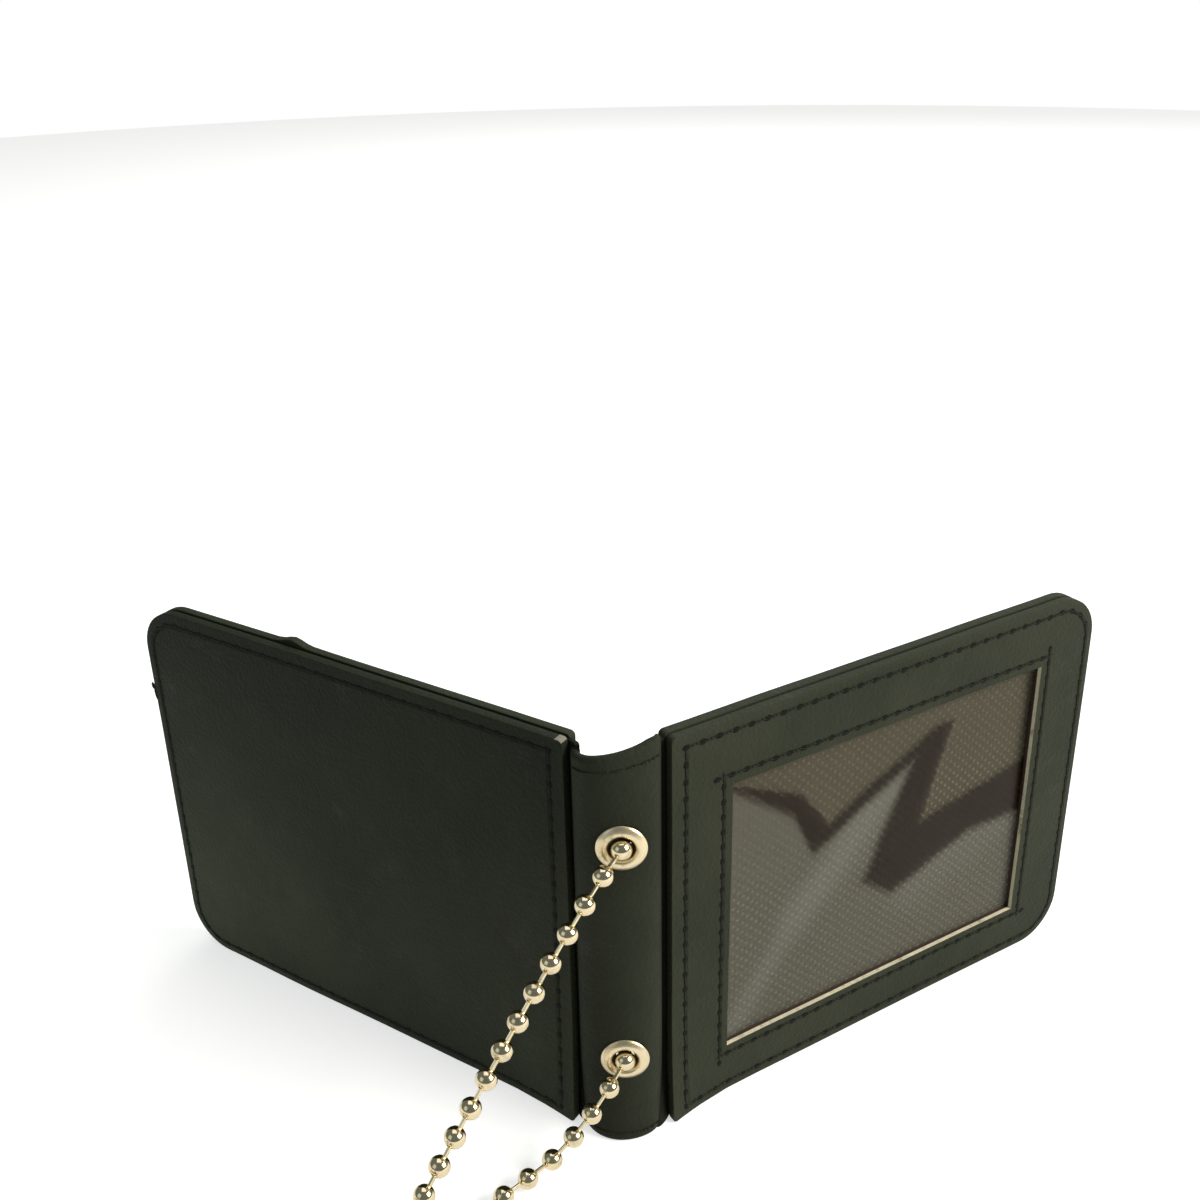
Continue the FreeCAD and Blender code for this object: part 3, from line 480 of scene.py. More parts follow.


# each window's film. Its loose patch is painted paler and greyer as a reflection. A patch has its roofs, its
# leaning line and its floors, as lines of slope and height in mm. Creases and painted sheens run from a point
# to a point in mm, with a width and a weight.
FILMS = {
    "front": {
        "loose": (
            [[(-0.733, 83.0), (-2.234, 129.6)], [(0.482, 32.2)]], (0.439, 35.1),
            [[(0.343, 11.1), (0, 38.3)], [(-0.7, 71.6)]]),
        "clinging": (
            [[(-0.459, 78.8), (-1.415, 110.4)], [(0.483, 34.6), (0, 67.2)]], (0.323, 50.3),
            [[(0.184, 33.0)]]),
        "creases": [((14, 72), (24, 66), 1.2, 0.7)],
        "sheens": [
            ((17, 13), (32, 34), 5.5, 0.5), ((32, 34), (50, 52), 8.0, 0.6),
            ((50, 52), (61, 60), 5.5, 0.5), ((64, 30), (90, 40), 11.0, 0.3)],
        "cling": (0.020, 0.0095, 0.0062)},
    "rear": {
        "loose": ([[(0, 95.0)]], (0, 120.0), [[(0, 5.0)]]),
        "clinging": ([[(0, 5.0)]], (0, 5.0), [[(0, 5.0)]]),
        "creases": [
            ((14, 73), (24, 71.5), 4.6, 1.0), ((24, 72), (38, 73), 3.0, 1.0),
            ((38, 73.5), (60, 73.8), 2.2, 0.9), ((60, 73.8), (90, 73), 2.8, 0.9),
            ((14, 72), (14.5, 58), 2.4, 0.9), ((90, 74), (90, 46), 2.2, 0.8)],
        "sheens": [((24, 24), (66, 62), 16.0, 0.3)],
        "cling": (0.006, 0.006, 0.005)}}


def film_material(name, loose, clinging, creases, sheens, cling):
    """Clear soft vinyl. In the loose patch a reflection is painted into it as a paler, greyer tone, and it
    clings darkly to the weave between that patch and the edge of the clinging one. Its sheens are painted
    reflections."""
    _, tree, shader, spot = new_material(name, roughness=0.16, specular=0.14)
    flat = flat_map(tree)
    moved = flat
    for scale, reach in ((70.0, 1.6 * MM), (800.0, 0.9 * MM)):
        centre = vec(tree, "SUBTRACT", clouds(tree, flat, scale, 3.0)["Color"], (0.5, 0.5, 0.5))
        moved = vec(tree, "ADD", moved, vec(tree, "MULTIPLY", centre, (reach, reach, 0)))

    def line(low, high, width, weight):
        mask = use_group(tree, "film_crease", {
            "Vector": moved, "From": (low[0] * MM, low[1] * MM, 0),
            "To": (high[0] * MM, high[1] * MM, 0), "Width": width * MM})["Mask"]
        return times(tree, mask, weight)

    u, v, _ = axes(tree, moved)
    dots = use_group(tree, "weave_floats", {"Vector": flat})["Mask"]
    ragged = times(tree, minus(tree, dots, 0.4), 1.0 * MM)
    inner = plus(tree, film_patch(tree, u, v, *loose), ragged)
    outer = minus(tree, film_patch(tree, u, v, *clinging), ragged)
    painted_reflection = span(tree, inner, -0.5 * MM, 2.4 * MM)
    between = span(tree, inner, -0.8 * MM, 2.2 * MM, 1.0, 0.0)
    dark = times(tree, span(tree, outer, -0.5 * MM, 0.7 * MM), between)
    dark = most(tree, dark, whole_of(tree, "MAXIMUM", [line(*crease) for crease in creases]))
    # painted reflection: the sheens lighten the film towards a pale grey and cover a little more of the weave
    pale = whole_of(tree, "MAXIMUM", [line(*sheen) for sheen in sheens])
    # painted reflection: the loose patch is paler and greyer, and covers more of the weave
    tone = mix_colour(tree, painted_reflection, (0.15, 0.135, 0.10), (0.215, 0.208, 0.180))
    tone = mix_colour(tree, times(tree, pale, 0.7), tone, (0.44, 0.44, 0.425))
    tone = mix_colour(tree, dark, tone, cling)
    # the sheet's front and back cover what is behind it twice
    cover = plus(tree, 0.05, times(tree, painted_reflection, 0.15))
    cover = plus(tree, cover, times(tree, pale, 0.05))
    cover = most(tree, cover, times(tree, dark, 0.47))
    tree.links.new(cover, shader.inputs["Alpha"])
    dress(tree, shader, tone, None, clouds(tree, spot, 55.0, 2.0)["Fac"], 0.4)


def nickel_material(name, tint, rough, scratches):
    """Warm nickel plating with fine brush marks and dull patches."""
    _, tree, shader, spot = new_material(name, metallic=1.0)
    brush = clouds(tree, spot, 700.0, 4.0, stretch=(1.0, 1.0, 9.0))["Fac"]
    dull = worn(tree, spot, 330.0, 0.8)
    tone = mix_colour(tree, dull, tint, shade(tint, 0.62))
    fine = span(tree, brush, 0.2, 0.8, rough * 0.8, rough * 1.3)
    dress(tree, shader, tone, plus(tree, fine, times(tree, dull, 0.18)), brush, scratches)


def lining_material(name, tint):
    """Smooth coated lining, glossier than the leather, with soft creases."""
    _, tree, shader, spot = new_material(name, specular=0.28)
    grain = use_group(tree, "leather_grain", {"Vector": spot, "Pebbles": 2100.0})
    crease = clouds(tree, spot, 120.0, 3.0, stretch=(3.0, 3.0, 0.6))["Fac"]
    tone = mix_colour(tree, grain["Tone"], shade(tint, 0.8), shade(tint, 1.3))
    height = plus(tree, times(tree, grain["Height"], 0.05), crease)
    dress(tree, shader, tone, span(tree, crease, 0.3, 0.7, 0.30, 0.42), height, 0.35)


def plastic_material(name, tint):
    """Smooth plastic with paler scuffs."""
    _, tree, shader, spot = new_material(name)
    scuffs = worn(tree, spot, 240.0, 0.7)
    tone = mix_colour(tree, scuffs, tint, shade(tint, 2.0))
    dress(tree, shader, tone, span(tree, scuffs, 0, 0.7, 0.35, 0.55))


# ---------------------------------------------------------------- how the panels bend

# the plates' slow bend and the wander of their outlines: waves to a metre, and size in mm
PLATE_WAVES, PLATE_BEND = 26.0, 0.28
EDGE_WAVES, EDGE_WANDER = 45.0, 0.14
# how far in mm the lower fold corner of each panel is pulled out with the spine, how far along and
# up the panel that reaches, and the share of it by which the corner moves towards the fold
CORNER_PULL = {"front": 2.4, "rear": -1.8}
CORNER_ALONG, CORNER_UP = 20.0, 30.0
CORNER_LEAN = 0.4


def fade(distance, reach):
    """Falls from one to nothing over a reach in mm."""
    return max(0.0, 1.0 - distance / (reach * MM)) ** 2


def pull(name, u, v):
    return fade(u, CORNER_ALONG) * fade(v, CORNER_UP) * CORNER_PULL[name] * MM


def warp(name, u, v):
    """How far the panel's plates bend out of their plane at a place, the same for all of them."""
    spot = Vector((u * PLATE_WAVES, v * PLATE_WAVES, 3.0 + SIDES[name] * 5.0))
    return noise.noise(spot) * PLATE_BEND * MM + pull(name, u, v)


def lean(name, u, v):
    """How far a place moves towards the fold where its corner is pulled out."""
    return -CORNER_LEAN * abs(pull(name, u, v))


def bend_panel(bm, name):
    for vert in bm.verts:
        u, v, w = vert.co
        spot = Vector((u * EDGE_WAVES, v * EDGE_WAVES, 9.0 * SIDES[name]))
        vert.co = (
            u + noise.noise(spot) * EDGE_WANDER * MM + lean(name, u, v),
            v + noise.noise(spot + Vector((7, 3, 1))) * EDGE_WANDER * MM,
            w + warp(name, u, v))


def panel_along(name, panel):
    return Vector((SIDES[name] * math.sin(panel.open_angle), math.cos(panel.open_angle), 0))


def panel_matrix(name, panel):
    """Panel frame: x from the fold line to the free edge, y up, z from the plain face outwards
    to the window face."""
    along = panel_along(name, panel)
    up = Vector((0, 0, 1))
    through = along.cross(up)
    matrix = Matrix((along, up, through)).transposed().to_4x4()
    matrix.translation = Vector((SIDES[name] * FOLD_X, FOLD_Y, 0)) - through * (panel.thickness / 2)
    return matrix


def set_in_panel(bm, name, panel):
    """Bends a flat piece with its panel, keeps its flat map, and puts it in place."""
    bend_panel(bm, name)
    face_out(bm)
    layer = bm.loops.layers.uv.new("panel")
    for face in bm.faces:
        for loop in face.loops:
            loop[layer].uv = loop.vert.co.xy
    move(bm, panel_matrix(name, panel))


# ---------------------------------------------------------------- mesh helpers

def face_out(bm):
    bmesh.ops.recalc_face_normals(bm, faces=bm.faces[:])


def move(bm, matrix):
    bmesh.ops.transform(bm, matrix=matrix, verts=bm.verts[:])


def shift(bm, way):
    bmesh.ops.translate(bm, vec=way, verts=bm.verts[:])


def thicken(bm, thickness):
    bmesh.ops.solidify(bm, geom=bm.faces[:], thickness=thickness)
    face_out(bm)


def slice_at(bm, axis, places):
    for place in places:
        spot, normal = [0, 0, 0], [0, 0, 0]
        spot[axis], normal[axis] = place, 1
        bmesh.ops.bisect_plane(
            bm, geom=bm.verts[:] + bm.edges[:] + bm.faces[:], plane_co=spot, plane_no=normal, dist=1e-7)


def drop_faces(bm, test):
    gone = [face for face in bm.faces if test(face.calc_center_median())]
    bmesh.ops.delete(bm, geom=gone, context="FACES")


def lift(bm, height):
    """Makes the flat faces a closed plate of that thickness."""
    raised = bmesh.ops.extrude_face_region(bm, geom=bm.faces[:])["geom"]
    moved = [item for item in raised if isinstance(item, bmesh.types.BMVert)]
    bmesh.ops.translate(bm, vec=(0, 0, height), verts=moved)
    face_out(bm)


def rectangle(low, high, bottom, top, columns=1, rows=1):
    bm = bmesh.new()
    bmesh.ops.create_grid(bm, x_segments=columns, y_segments=rows, size=0.5)
    bmesh.ops.scale(bm, vec=(high - low, top - bottom, 1), verts=bm.verts[:])
    shift(bm, ((low + high) / 2, (bottom + top) / 2, 0))
    return bm


def round_off(bm, chosen, radius, segments, affect):
    """Rounds chosen edges (EDGES) or the corners of a flat face (VERTICES)."""
    bmesh.ops.bevel(
        bm, geom=chosen, offset=radius, offset_type="OFFSET", affect=affect, segments=segments,
        profile=0.5, material=-1, clamp_overlap=affect == "EDGES")


def panel_face(panel):
    """A flat face with the panel's rounded outline."""
    middle = panel.fold_gap + panel.width / 2
    bm = rectangle(panel.fold_gap, panel.fold_gap + panel.width, 0.0, panel.height)
    free = [vert for vert in bm.verts if vert.co.x > middle]
    fold = [vert for vert in bm.verts if vert.co.x < middle]
    round_off(bm, free, panel.free_corner, 12, "VERTICES")
    round_off(bm, fold, panel.fold_corner, 3, "VERTICES")
    return bm


def grid_slices(bm, panel):
    across = int(panel.width / panel.cell)
    slice_at(bm, 0, [panel.fold_gap + panel.width * i / across for i in range(1, across)])
    rows = int(panel.height / panel.cell)
    slice_at(bm, 1, [panel.height * i / rows for i in range(1, rows)])


def on_window(spot, window, slack=0.05 * MM):
    low, high, bottom, top = window
    return low - slack < spot.x < high + slack and bottom - slack < spot.y < top + slack


def rim_edges(bm, window=None):
    """The level edges between a plate's faces and its outer walls."""
    found = []
    for edge in bm.edges:
        if len(edge.link_faces) != 2 or edge.calc_face_angle(0) < 1.0:
            continue
        a, b = (vert.co for vert in edge.verts)
        if abs(a.z - b.z) > 1e-6:
            continue
        if window is not None and on_window((a + b) / 2, window):
            continue
        found.append(edge)
    return found


def turned(profile, steps):
    """A bmesh turned about Z from (radius, height) points in mm."""
    bm = bmesh.new()
    verts = [bm.verts.new((radius * MM, 0, height * MM)) for radius, height in profile]
    edges = [bm.edges.new(pair) for pair in zip(verts, verts[1:])]
    if profile[0][0] > 0:
        edges.append(bm.edges.new((verts[-1], verts[0])))
    bmesh.ops.spin(
        bm, geom=verts + edges, cent=ORIGIN, axis=(0, 0, 1), angle=2 * math.pi, steps=steps, use_merge=True)
    bmesh.ops.remove_doubles(bm, verts=bm.verts[:], dist=1e-7)
    face_out(bm)
    return bm


def add_stitch(bm, place, sizes):
    """A small rounded bar of those sizes, along x before it is placed."""
    return bmesh.ops.create_uvsphere(
        bm, u_segments=6, v_segments=5, radius=0.5,
        matrix=place @ Matrix.Diagonal((*sizes, 1)) @ Matrix.Rotation(math.pi / 2, 4, "Y"))["verts"]


def add_ball(bm, place, radius, fineness):
    bmesh.ops.create_icosphere(bm, subdivisions=fineness, radius=radius, matrix=Matrix.Translation(place))


def add_links(bm, places, radius, segments):
    """A short wire between each ball and the next."""
    for a, b in zip(places, places[1:]):
        run = b - a
        turn = run.to_track_quat("Z", "Y").to_matrix().to_4x4()
        turn.translation = (a + b) / 2
        bmesh.ops.create_cone(
            bm, cap_ends=True, segments=segments, radius1=radius, radius2=radius, depth=run.length,
            matrix=turn)


def make_object(name, bm, finishes, body=None, nodes=(), sharp=40.0):
    mesh = bpy.data.meshes.new(name)
    bm.to_mesh(mesh)
    bm.free()
    for finish in finishes:
        mesh.materials.append(bpy.data.materials[finish])
    for face in mesh.polygons:
        face.use_smooth = True
    mesh.set_sharp_from_angle(angle=math.radians(sharp))
    piece = bpy.data.objects.new(name, mesh)
    bpy.context.scene.collection.objects.link(piece)
    if nodes:
        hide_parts(*nodes)
    if body:
        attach(piece, body)
    return piece


# ---------------------------------------------------------------- operators

class WALLET_OT_finishes(bpy.types.Operator):
    """Makes the materials and dresses the CAD pieces that stay"""
    bl_idname = "wallet.finishes"
    bl_label = "Finishes"

    def execute(self, context):
        panel = context.scene.wallet_panel
        metal = context.scene.wallet_metal
        grain_group()
        wear_group()
        seam_group(panel)
        crease_group()
        floats_group()
        self.soft(panel)
        lining_material("spine_lining_gloss", tuple(context.scene.wallet_spine.lining))
        plastic_material("tie_plastic", tuple(metal.tie))
        nickel = tuple(metal.nickel)
        nickel_material("chain_nickel", nickel, 0.13, 0.004)
        nickel_material("snap_nickel", nickel, 0.24, 0.012)
        nickel_material("eyelet_nickel", shade(nickel, 1.03), 0.33, 0.012)
        nickel_material("magnet_grey", (0.22, 0.21, 0.20), 0.5, 0.02)
        for node, finish in (
                ("snap_stud_prongs", "snap_nickel"), ("snap_stud_washer", "snap_nickel"),
                ("snap_socket_prongs", "snap_nickel"), ("snap_socket_washer", "snap_nickel"),
                ("snap_socket_magnet", "magnet_grey")):
            slots = frame["nodes"][node].data.materials
            slots.clear()
            slots.append(bpy.data.materials[finish])
        return {"FINISHED"}

    def soft(self, panel):
        """Leather, thread, cloth and film."""
        black, thread = tuple(panel.leather), tuple(panel.thread)
        for name, window in WINDOWS.items():
            leather_material(name + "_frame_grain", panel, black, window)
            leather_material(name + "_facing_grain", panel, black, window, rows=0.0, painted_gradient=name == "rear")
            film_material(name + "_film", **FILMS[name])
        leather_material("spine_grain", panel, shade(black, 0.82))
        # painted shade: a darkened copy of the leather for the fold margins deep in the grooves
        leather_material("fold_grain", panel, shade(black, 0.3))
        raw_edge_material("cut_leather", tuple(panel.cut_edge), (0.22, 0.165, 0.095))
        raw_edge_material("cut_board", (0.060, 0.034, 0.026), (0.03, 0.02, 0.015))
        raw_edge_material("raw_corner", (0.26, 0.245, 0.20), (0.05, 0.045, 0.034))
        thread_material("thread", thread)
        # painted shade: near-black marks stand for the shade inside the needle holes
        thread_material("needle_hole", shade(thread, 0.2))
        weave_material("front_weave", tuple(panel.weave), (0.26, 0.238, 0.185))
        weave_material("rear_weave", (0.062, 0.066, 0.052), (0.13, 0.137, 0.112))


class WALLET_OT_stage(bpy.types.Operator):
    """Sets the camera, the floor, the lamps and the world"""
    bl_idname = "wallet.stage"
    bl_label = "Stage"

    # name, place, aim, size, power and colour
    lamps = (
        ("key_lamp", (1.2, -0.36, 0.85), (0.02, 0, 0.04), 0.8, 23.0, (1.0, 0.96, 0.87)),
        ("fill_lamp", (-0.95, -0.7, 0.7), (-0.03, 0, 0.04), 0.8, 1.2, (0.84, 1.0, 0.99)),
        ("top_lamp", (0.0, 0.25, 1.15), (0, 0, 0), 0.9, 3.2, (1, 1, 1)),
        ("back_lamp", (0.3, 1.1, 0.7), (0, 0, 0.04), 0.8, 4.0, (1, 0.98, 0.95)))

    def execute(self, context):
        scene = context.scene
        self.set_camera(scene, scene.wallet_stage)
        self.lay_floor(scene, scene.wallet_stage)
        self.set_world(scene)
        for name, place, aim, size, energy, tint in self.lamps:
            lamp = bpy.data.lights.new(name, "AREA")
            lamp.energy = energy
            lamp.size = size
            lamp.color = tint
            holder = bpy.data.objects.new(name, lamp)
            holder.location = place
            holder.rotation_euler = (Vector(aim) - Vector(place)).to_track_quat("-Z", "Y").to_euler()
            scene.collection.objects.link(holder)
        scene.view_settings.view_transform = "Standard"
        return {"FINISHED"}

    def set_camera(self, scene, stage):
        azimuth, elevation = stage.azimuth, stage.elevation
        back = Vector((
            math.sin(azimuth) * math.cos(elevation), -math.cos(azimuth) * math.cos(elevation),
            math.sin(elevation)))
        right = (-back).cross(Vector((0, 0, 1))).normalized()
        down = (-back).cross(right)
        across = right * math.cos(stage.roll) + down * math.sin(stage.roll)
        below = down * math.cos(stage.roll) - right * math.sin(stage.roll)
        camera = bpy.data.objects.new("camera", bpy.data.cameras.new("camera"))
        camera.data.lens = stage.lens
        camera.data.sensor_width = 36
        camera.data.clip_start = 0.01
        place = Matrix((across, -below, back)).transposed().to_4x4()
        place.translation = Vector(stage.target) + back * stage.distance
        camera.matrix_world = place
        scene.collection.objects.link(camera)
        scene.camera = camera

    def seen(self, tree):
        """The light path, and whether the camera sees a place straight or through the film."""
        path = put(tree, "ShaderNodeLightPath").outputs
        return path, most(tree, path["Is Camera Ray"], path["Is Transmission Ray"])

    def lay_floor(self, scene, stage):
        """A round floor that glows a little, so that it is white in the picture."""
        bm = bmesh.new()
        bmesh.ops.create_circle(bm, cap_ends=True, segments=96, radius=1.6)
        shift(bm, (0, 0, -0.05 * MM))
        mesh = bpy.data.meshes.new("floor")
        bm.to_mesh(mesh)
        bm.free()
        floor = bpy.data.objects.new("floor", mesh)
        scene.collection.objects.link(floor)
        paint, tree, shader, _ = new_material("floor_white", roughness=0.9, specular=0.1)
        path, seen = self.seen(tree)
        glow = most(tree, times(tree, seen, 0.62), times(tree, path["Is Glossy Ray"], 0.46))
        tree.links.new(glow, shader.inputs["Emission Strength"])
        shader.inputs["Emission Color"].default_value = (1, 1, 1, 1)
        shader.inputs["Base Color"].default_value = (*stage.floor, 1)
        mesh.materials.append(paint)

    def set_world(self, scene):
        """White where it is seen, and a soft light elsewhere."""
        world = bpy.data.worlds.new("studio")
        scene.world = world
        world.use_nodes = True
        tree = world.node_tree
        tree.nodes.clear()
        _, seen = self.seen(tree)
        soft = put(tree, "ShaderNodeBackground", {"Color": (0.91, 1.0, 0.97, 1), "Strength": 0.18})
        white = put(tree, "ShaderNodeBackground", {"Color": (1, 1, 1, 1), "Strength": 1.0})
        either = put(tree, "ShaderNodeMixShader", {0: seen, 1: soft.outputs[0], 2: white.outputs[0]})
        put(tree, "ShaderNodeOutputWorld", {"Surface": either.outputs[0]})


# the neck chain's way, in mm: out of the upper eyelet, through the put-away coil and back into
# the lower eyelet
UPPER_RUN = [
    (0.5, -32.955, 68.0), (-5.2, -40.0, 64.2), (-33.5, -60.45, 18.6), (-40.2, -66.05, 6.2),
    (-38.5, -83.45, 3.0), (-34.616, -104.679, 3.0), (-51.936, -114.679, 3.0)]
LOWER_RUN = [
    (-70.658, -69.479, 7.6), (-52.306, -64.562, 7.6), (-30.0, -56.45, 2.1), (-18.5, -45.95, 2.2),
    (-12.5, -41.45, 3.6), (-3.5, -37.65, 14.2), (0.5, -32.955, 19.2)]
# the coil in mm: its middle, its outer turn, how much a turn is inside the one before, the height
# of its lower layer, the step up to the other one, and the dip in radius on the way up
COIL_MIDDLE = (-68.0, -94.855)
COIL_RADIUS, COIL_STEP = 25.2, 4.5
COIL_FLOOR, COIL_LAYER, COIL_DIP = 3.0, 4.6, 1.5
# the coil in degrees: where it starts, its whole turn, the turn of one layer and of the way up
COIL_START, COIL_TRAVEL, COIL_SPIRAL, COIL_CLIMB = -60.0, 1635.0, 727.5, 180.0
COIL_POINTS = 16
# balls nearer than this, in the photo's view, are finer
FINE_X, FINE_Y = -52.0, -88.0
# the band round the coil: its reach from the middle, its turn, width, wall and rounded corners
TIE_REACH = (13.9 * MM, 25.3 * MM)
TIE_TURN = math.radians(20.0)
TIE_WIDTH, TIE_WALL, TIE_CORNER, TIE_EDGE = 5.0 * MM, 0.8 * MM, 2.6 * MM, 0.25 * MM
# heights in mm inside the spine: where each chain leaves its eyelet, and its balls
INNER_CHAIN = {"upper": (67.2, 65.0, 59.35, 53.7, 48.05, 42.4), "lower": (20.0, 22.2, 27.9)}
# where the inner chains leave their eyelets in mm, and the wall of their sleeve
MOUTH_X, MOUTH_Y, SLEEVE_WALL = 0.3, -31.2, 0.45


def coil_points():
    """The put-away coil: in on the floor, up a layer in half a turn, and out again."""
    points = []
    count = int(COIL_TRAVEL / 360 * COIL_POINTS)
    for i in range(count + 1):
        travel = COIL_TRAVEL * i / count
        inward = min(travel, COIL_SPIRAL, COIL_TRAVEL - travel)
        climb = math.pi * min(max((travel - COIL_SPIRAL) / COIL_CLIMB, 0.0), 1.0)
        radius = COIL_RADIUS - COIL_STEP * inward / 360 - COIL_DIP * math.sin(climb) ** 2
        radius /= math.cos(math.pi / COIL_POINTS)
        turn = math.radians(COIL_START - travel)
        points.append((
            COIL_MIDDLE[0] + radius * math.cos(turn), COIL_MIDDLE[1] + radius * math.sin(turn),
            COIL_FLOOR + COIL_LAYER * (1 - math.cos(climb)) / 2))
    return points


def smooth_route(points):
    """Points along the NURBS line of a route in mm, in metres."""
    curve = bpy.data.curves.new("route", "CURVE")
    curve.dimensions = "3D"
    curve.resolution_u = 12
    spline = curve.splines.new("NURBS")
    spline.points.add(len(points) - 1)
    for spot, (x, y, z) in zip(spline.points, points):
        spot.co = (x * MM, y * MM, z * MM, 1)
    spline.order_u = 3
    spline.use_endpoint_u = True
    holder = bpy.data.objects.new("route", curve)
    bpy.context.scene.collection.objects.link(holder)
    mesh = bpy.data.meshes.new_from_object(holder.evaluated_get(bpy.context.evaluated_depsgraph_get()))
    line = [vert.co.copy() for vert in mesh.vertices]
    bpy.data.objects.remove(holder)
    bpy.data.curves.remove(curve)
    bpy.data.meshes.remove(mesh)
    return line


def walk(line, pitch):
    """Places a near-even pitch apart along a line, both its ends included, and its length."""
    runs = [(b - a).length for a, b in zip(line, line[1:])]
    whole = sum(runs)
    count = round(whole / pitch)
    places = [line[0]]
    done, index = 0.0, 0
    for i in range(1, count):
        goal = whole * i / count
        while done + runs[index] < goal:
            done += runs[index]
            index += 1
        places.append(line[index].lerp(line[index + 1], (goal - done) / runs[index]))
    places.append(line[-1])
    return places, whole


class WALLET_OT_chain(bpy.types.Operator):
    """Lays the neck ball chain, with its put-away length coiled and tied"""
    bl_idname = "wallet.chain"
    bl_label = "Neck chain"

    def execute(self, context):
        metal = context.scene.wallet_metal
        line = smooth_route(UPPER_RUN + coil_points() + LOWER_RUN)
        places, whole = walk(line, metal.ball_pitch)
        bm = bmesh.new()
        for place in places:
            near = place.y > FINE_Y * MM and place.x > FINE_X * MM
            add_ball(bm, place, metal.ball_radius, 3 if near else 2)
        add_links(bm, places, metal.link_radius, 8)
        chain = make_object(
            "neck_chain", bm, ["chain_nickel"], "spine",
            ("chain_upper_strand", "chain_lower_strand", "chain_coil"))
        tie = self.tie()
        return {"FINISHED"}

    def tie(self):
        """A soft band with rounded edges round the coil's turns."""
        low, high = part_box("chain_tie")
        bottom, top = low.z + 0.02 * MM, high.z
        across, tall = TIE_REACH[1] - TIE_REACH[0], top - bottom
        bm = rectangle(-across / 2, across / 2, -tall / 2, tall / 2)
        round_off(bm, bm.verts[:], TIE_CORNER, 5, "VERTICES")
        bmesh.ops.inset_region(
            bm, faces=bm.faces[:], thickness=TIE_WALL, use_boundary=True, use_even_offset=True)
        hollow = [face for face in bm.faces if len(face.verts) > 4]
        bmesh.ops.delete(bm, geom=hollow, context="FACES")
        lift(bm, TIE_WIDTH)
        round_off(bm, rim_edges(bm), TIE_EDGE, 2, "EDGES")
        shift(bm, (0, 0, -TIE_WIDTH / 2))
        stand = Matrix.Rotation(math.radians(90), 4, "X")
        reach = Matrix.Translation((sum(TIE_REACH) / 2, 0, (bottom + top) / 2))
        swing = Matrix.Rotation(TIE_TURN, 4, "Z")
        centre = Matrix.Translation((COIL_MIDDLE[0] * MM, COIL_MIDDLE[1] * MM, 0))
        move(bm, centre @ swing @ reach @ stand)
        face_out(bm)
        return make_object("chain_band", bm, ["tie_plastic"], "spine", ("chain_tie",))


class WALLET_OT_inner_chain(bpy.types.Operator):
    """Hangs the short chain inside the spine and its open sleeve connector"""
    bl_idname = "wallet.inner_chain"
    bl_label = "Inner chain"

    def execute(self, context):
        metal = context.scene.wallet_metal
        for name, (mouth, *heights) in INNER_CHAIN.items():
            balls = [Vector((0, FOLD_Y, height * MM)) for height in heights]
            bm = bmesh.new()
            for place in balls:
                add_ball(bm, place, metal.ball_radius, 3)
            start = Vector((MOUTH_X * MM, MOUTH_Y * MM, mouth * MM))
            add_links(bm, [start] + balls, metal.link_radius, 10)
            make_object(
                "inner_chain_" + name, bm, ["chain_nickel"], "spine", ("chain_inner_" + name,))
        self.connector()
        return {"FINISHED"}

    def connector(self):
        """A folded sleeve with narrowed ends, its front pulled open."""
        low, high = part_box("chain_connector")
        size = high - low
        radius, tall = size.x / 2, size.z
        bm = bmesh.new()
        bmesh.ops.create_cone(
            bm, cap_ends=True, cap_tris=False, segments=24, radius1=radius, radius2=radius, depth=tall)
        shares = (0.13, 0.26, 0.36, 0.44)
        slice_at(bm, 2, [tall * share for share in (*(-share for share in reversed(shares)), 0.0, *shares)])
        drop_faces(bm, lambda spot: abs(spot.z) > tall * 0.499)
        drop_faces(bm, lambda spot: spot.y > size.x * 0.36 and abs(spot.z) < tall * 0.40)
        drop_faces(bm, lambda spot: spot.y > size.x * 0.46 and abs(spot.z) >= tall * 0.40)
        for vert in bm.verts:
            end = abs(vert.co.z) / (tall / 2)
            pinch = 1.0 - 0.36 * max(0.0, (end - 0.62) / 0.38) ** 1.6
            flare = 1.0 + 0.10 * max(0.0, 1.0 - end * 1.8)
            vert.co.x *= pinch * (flare if vert.co.y > 0 else 1.0)
            vert.co.y *= pinch * size.y / size.x
        face_out(bm)
        thicken(bm, SLEEVE_WALL * MM)
        shift(bm, (low + high) / 2)
        make_object(
            "chain_sleeve", bm, ["snap_nickel"], "spine", ("chain_connector",), sharp=50.0)


# the rear panel's top edge is puckered upwards at this reach, over this width and by this height,
# in mm
KNOT_REACH, KNOT_WIDTH, KNOT_HEIGHT = 68.0, 2.6, 1.1


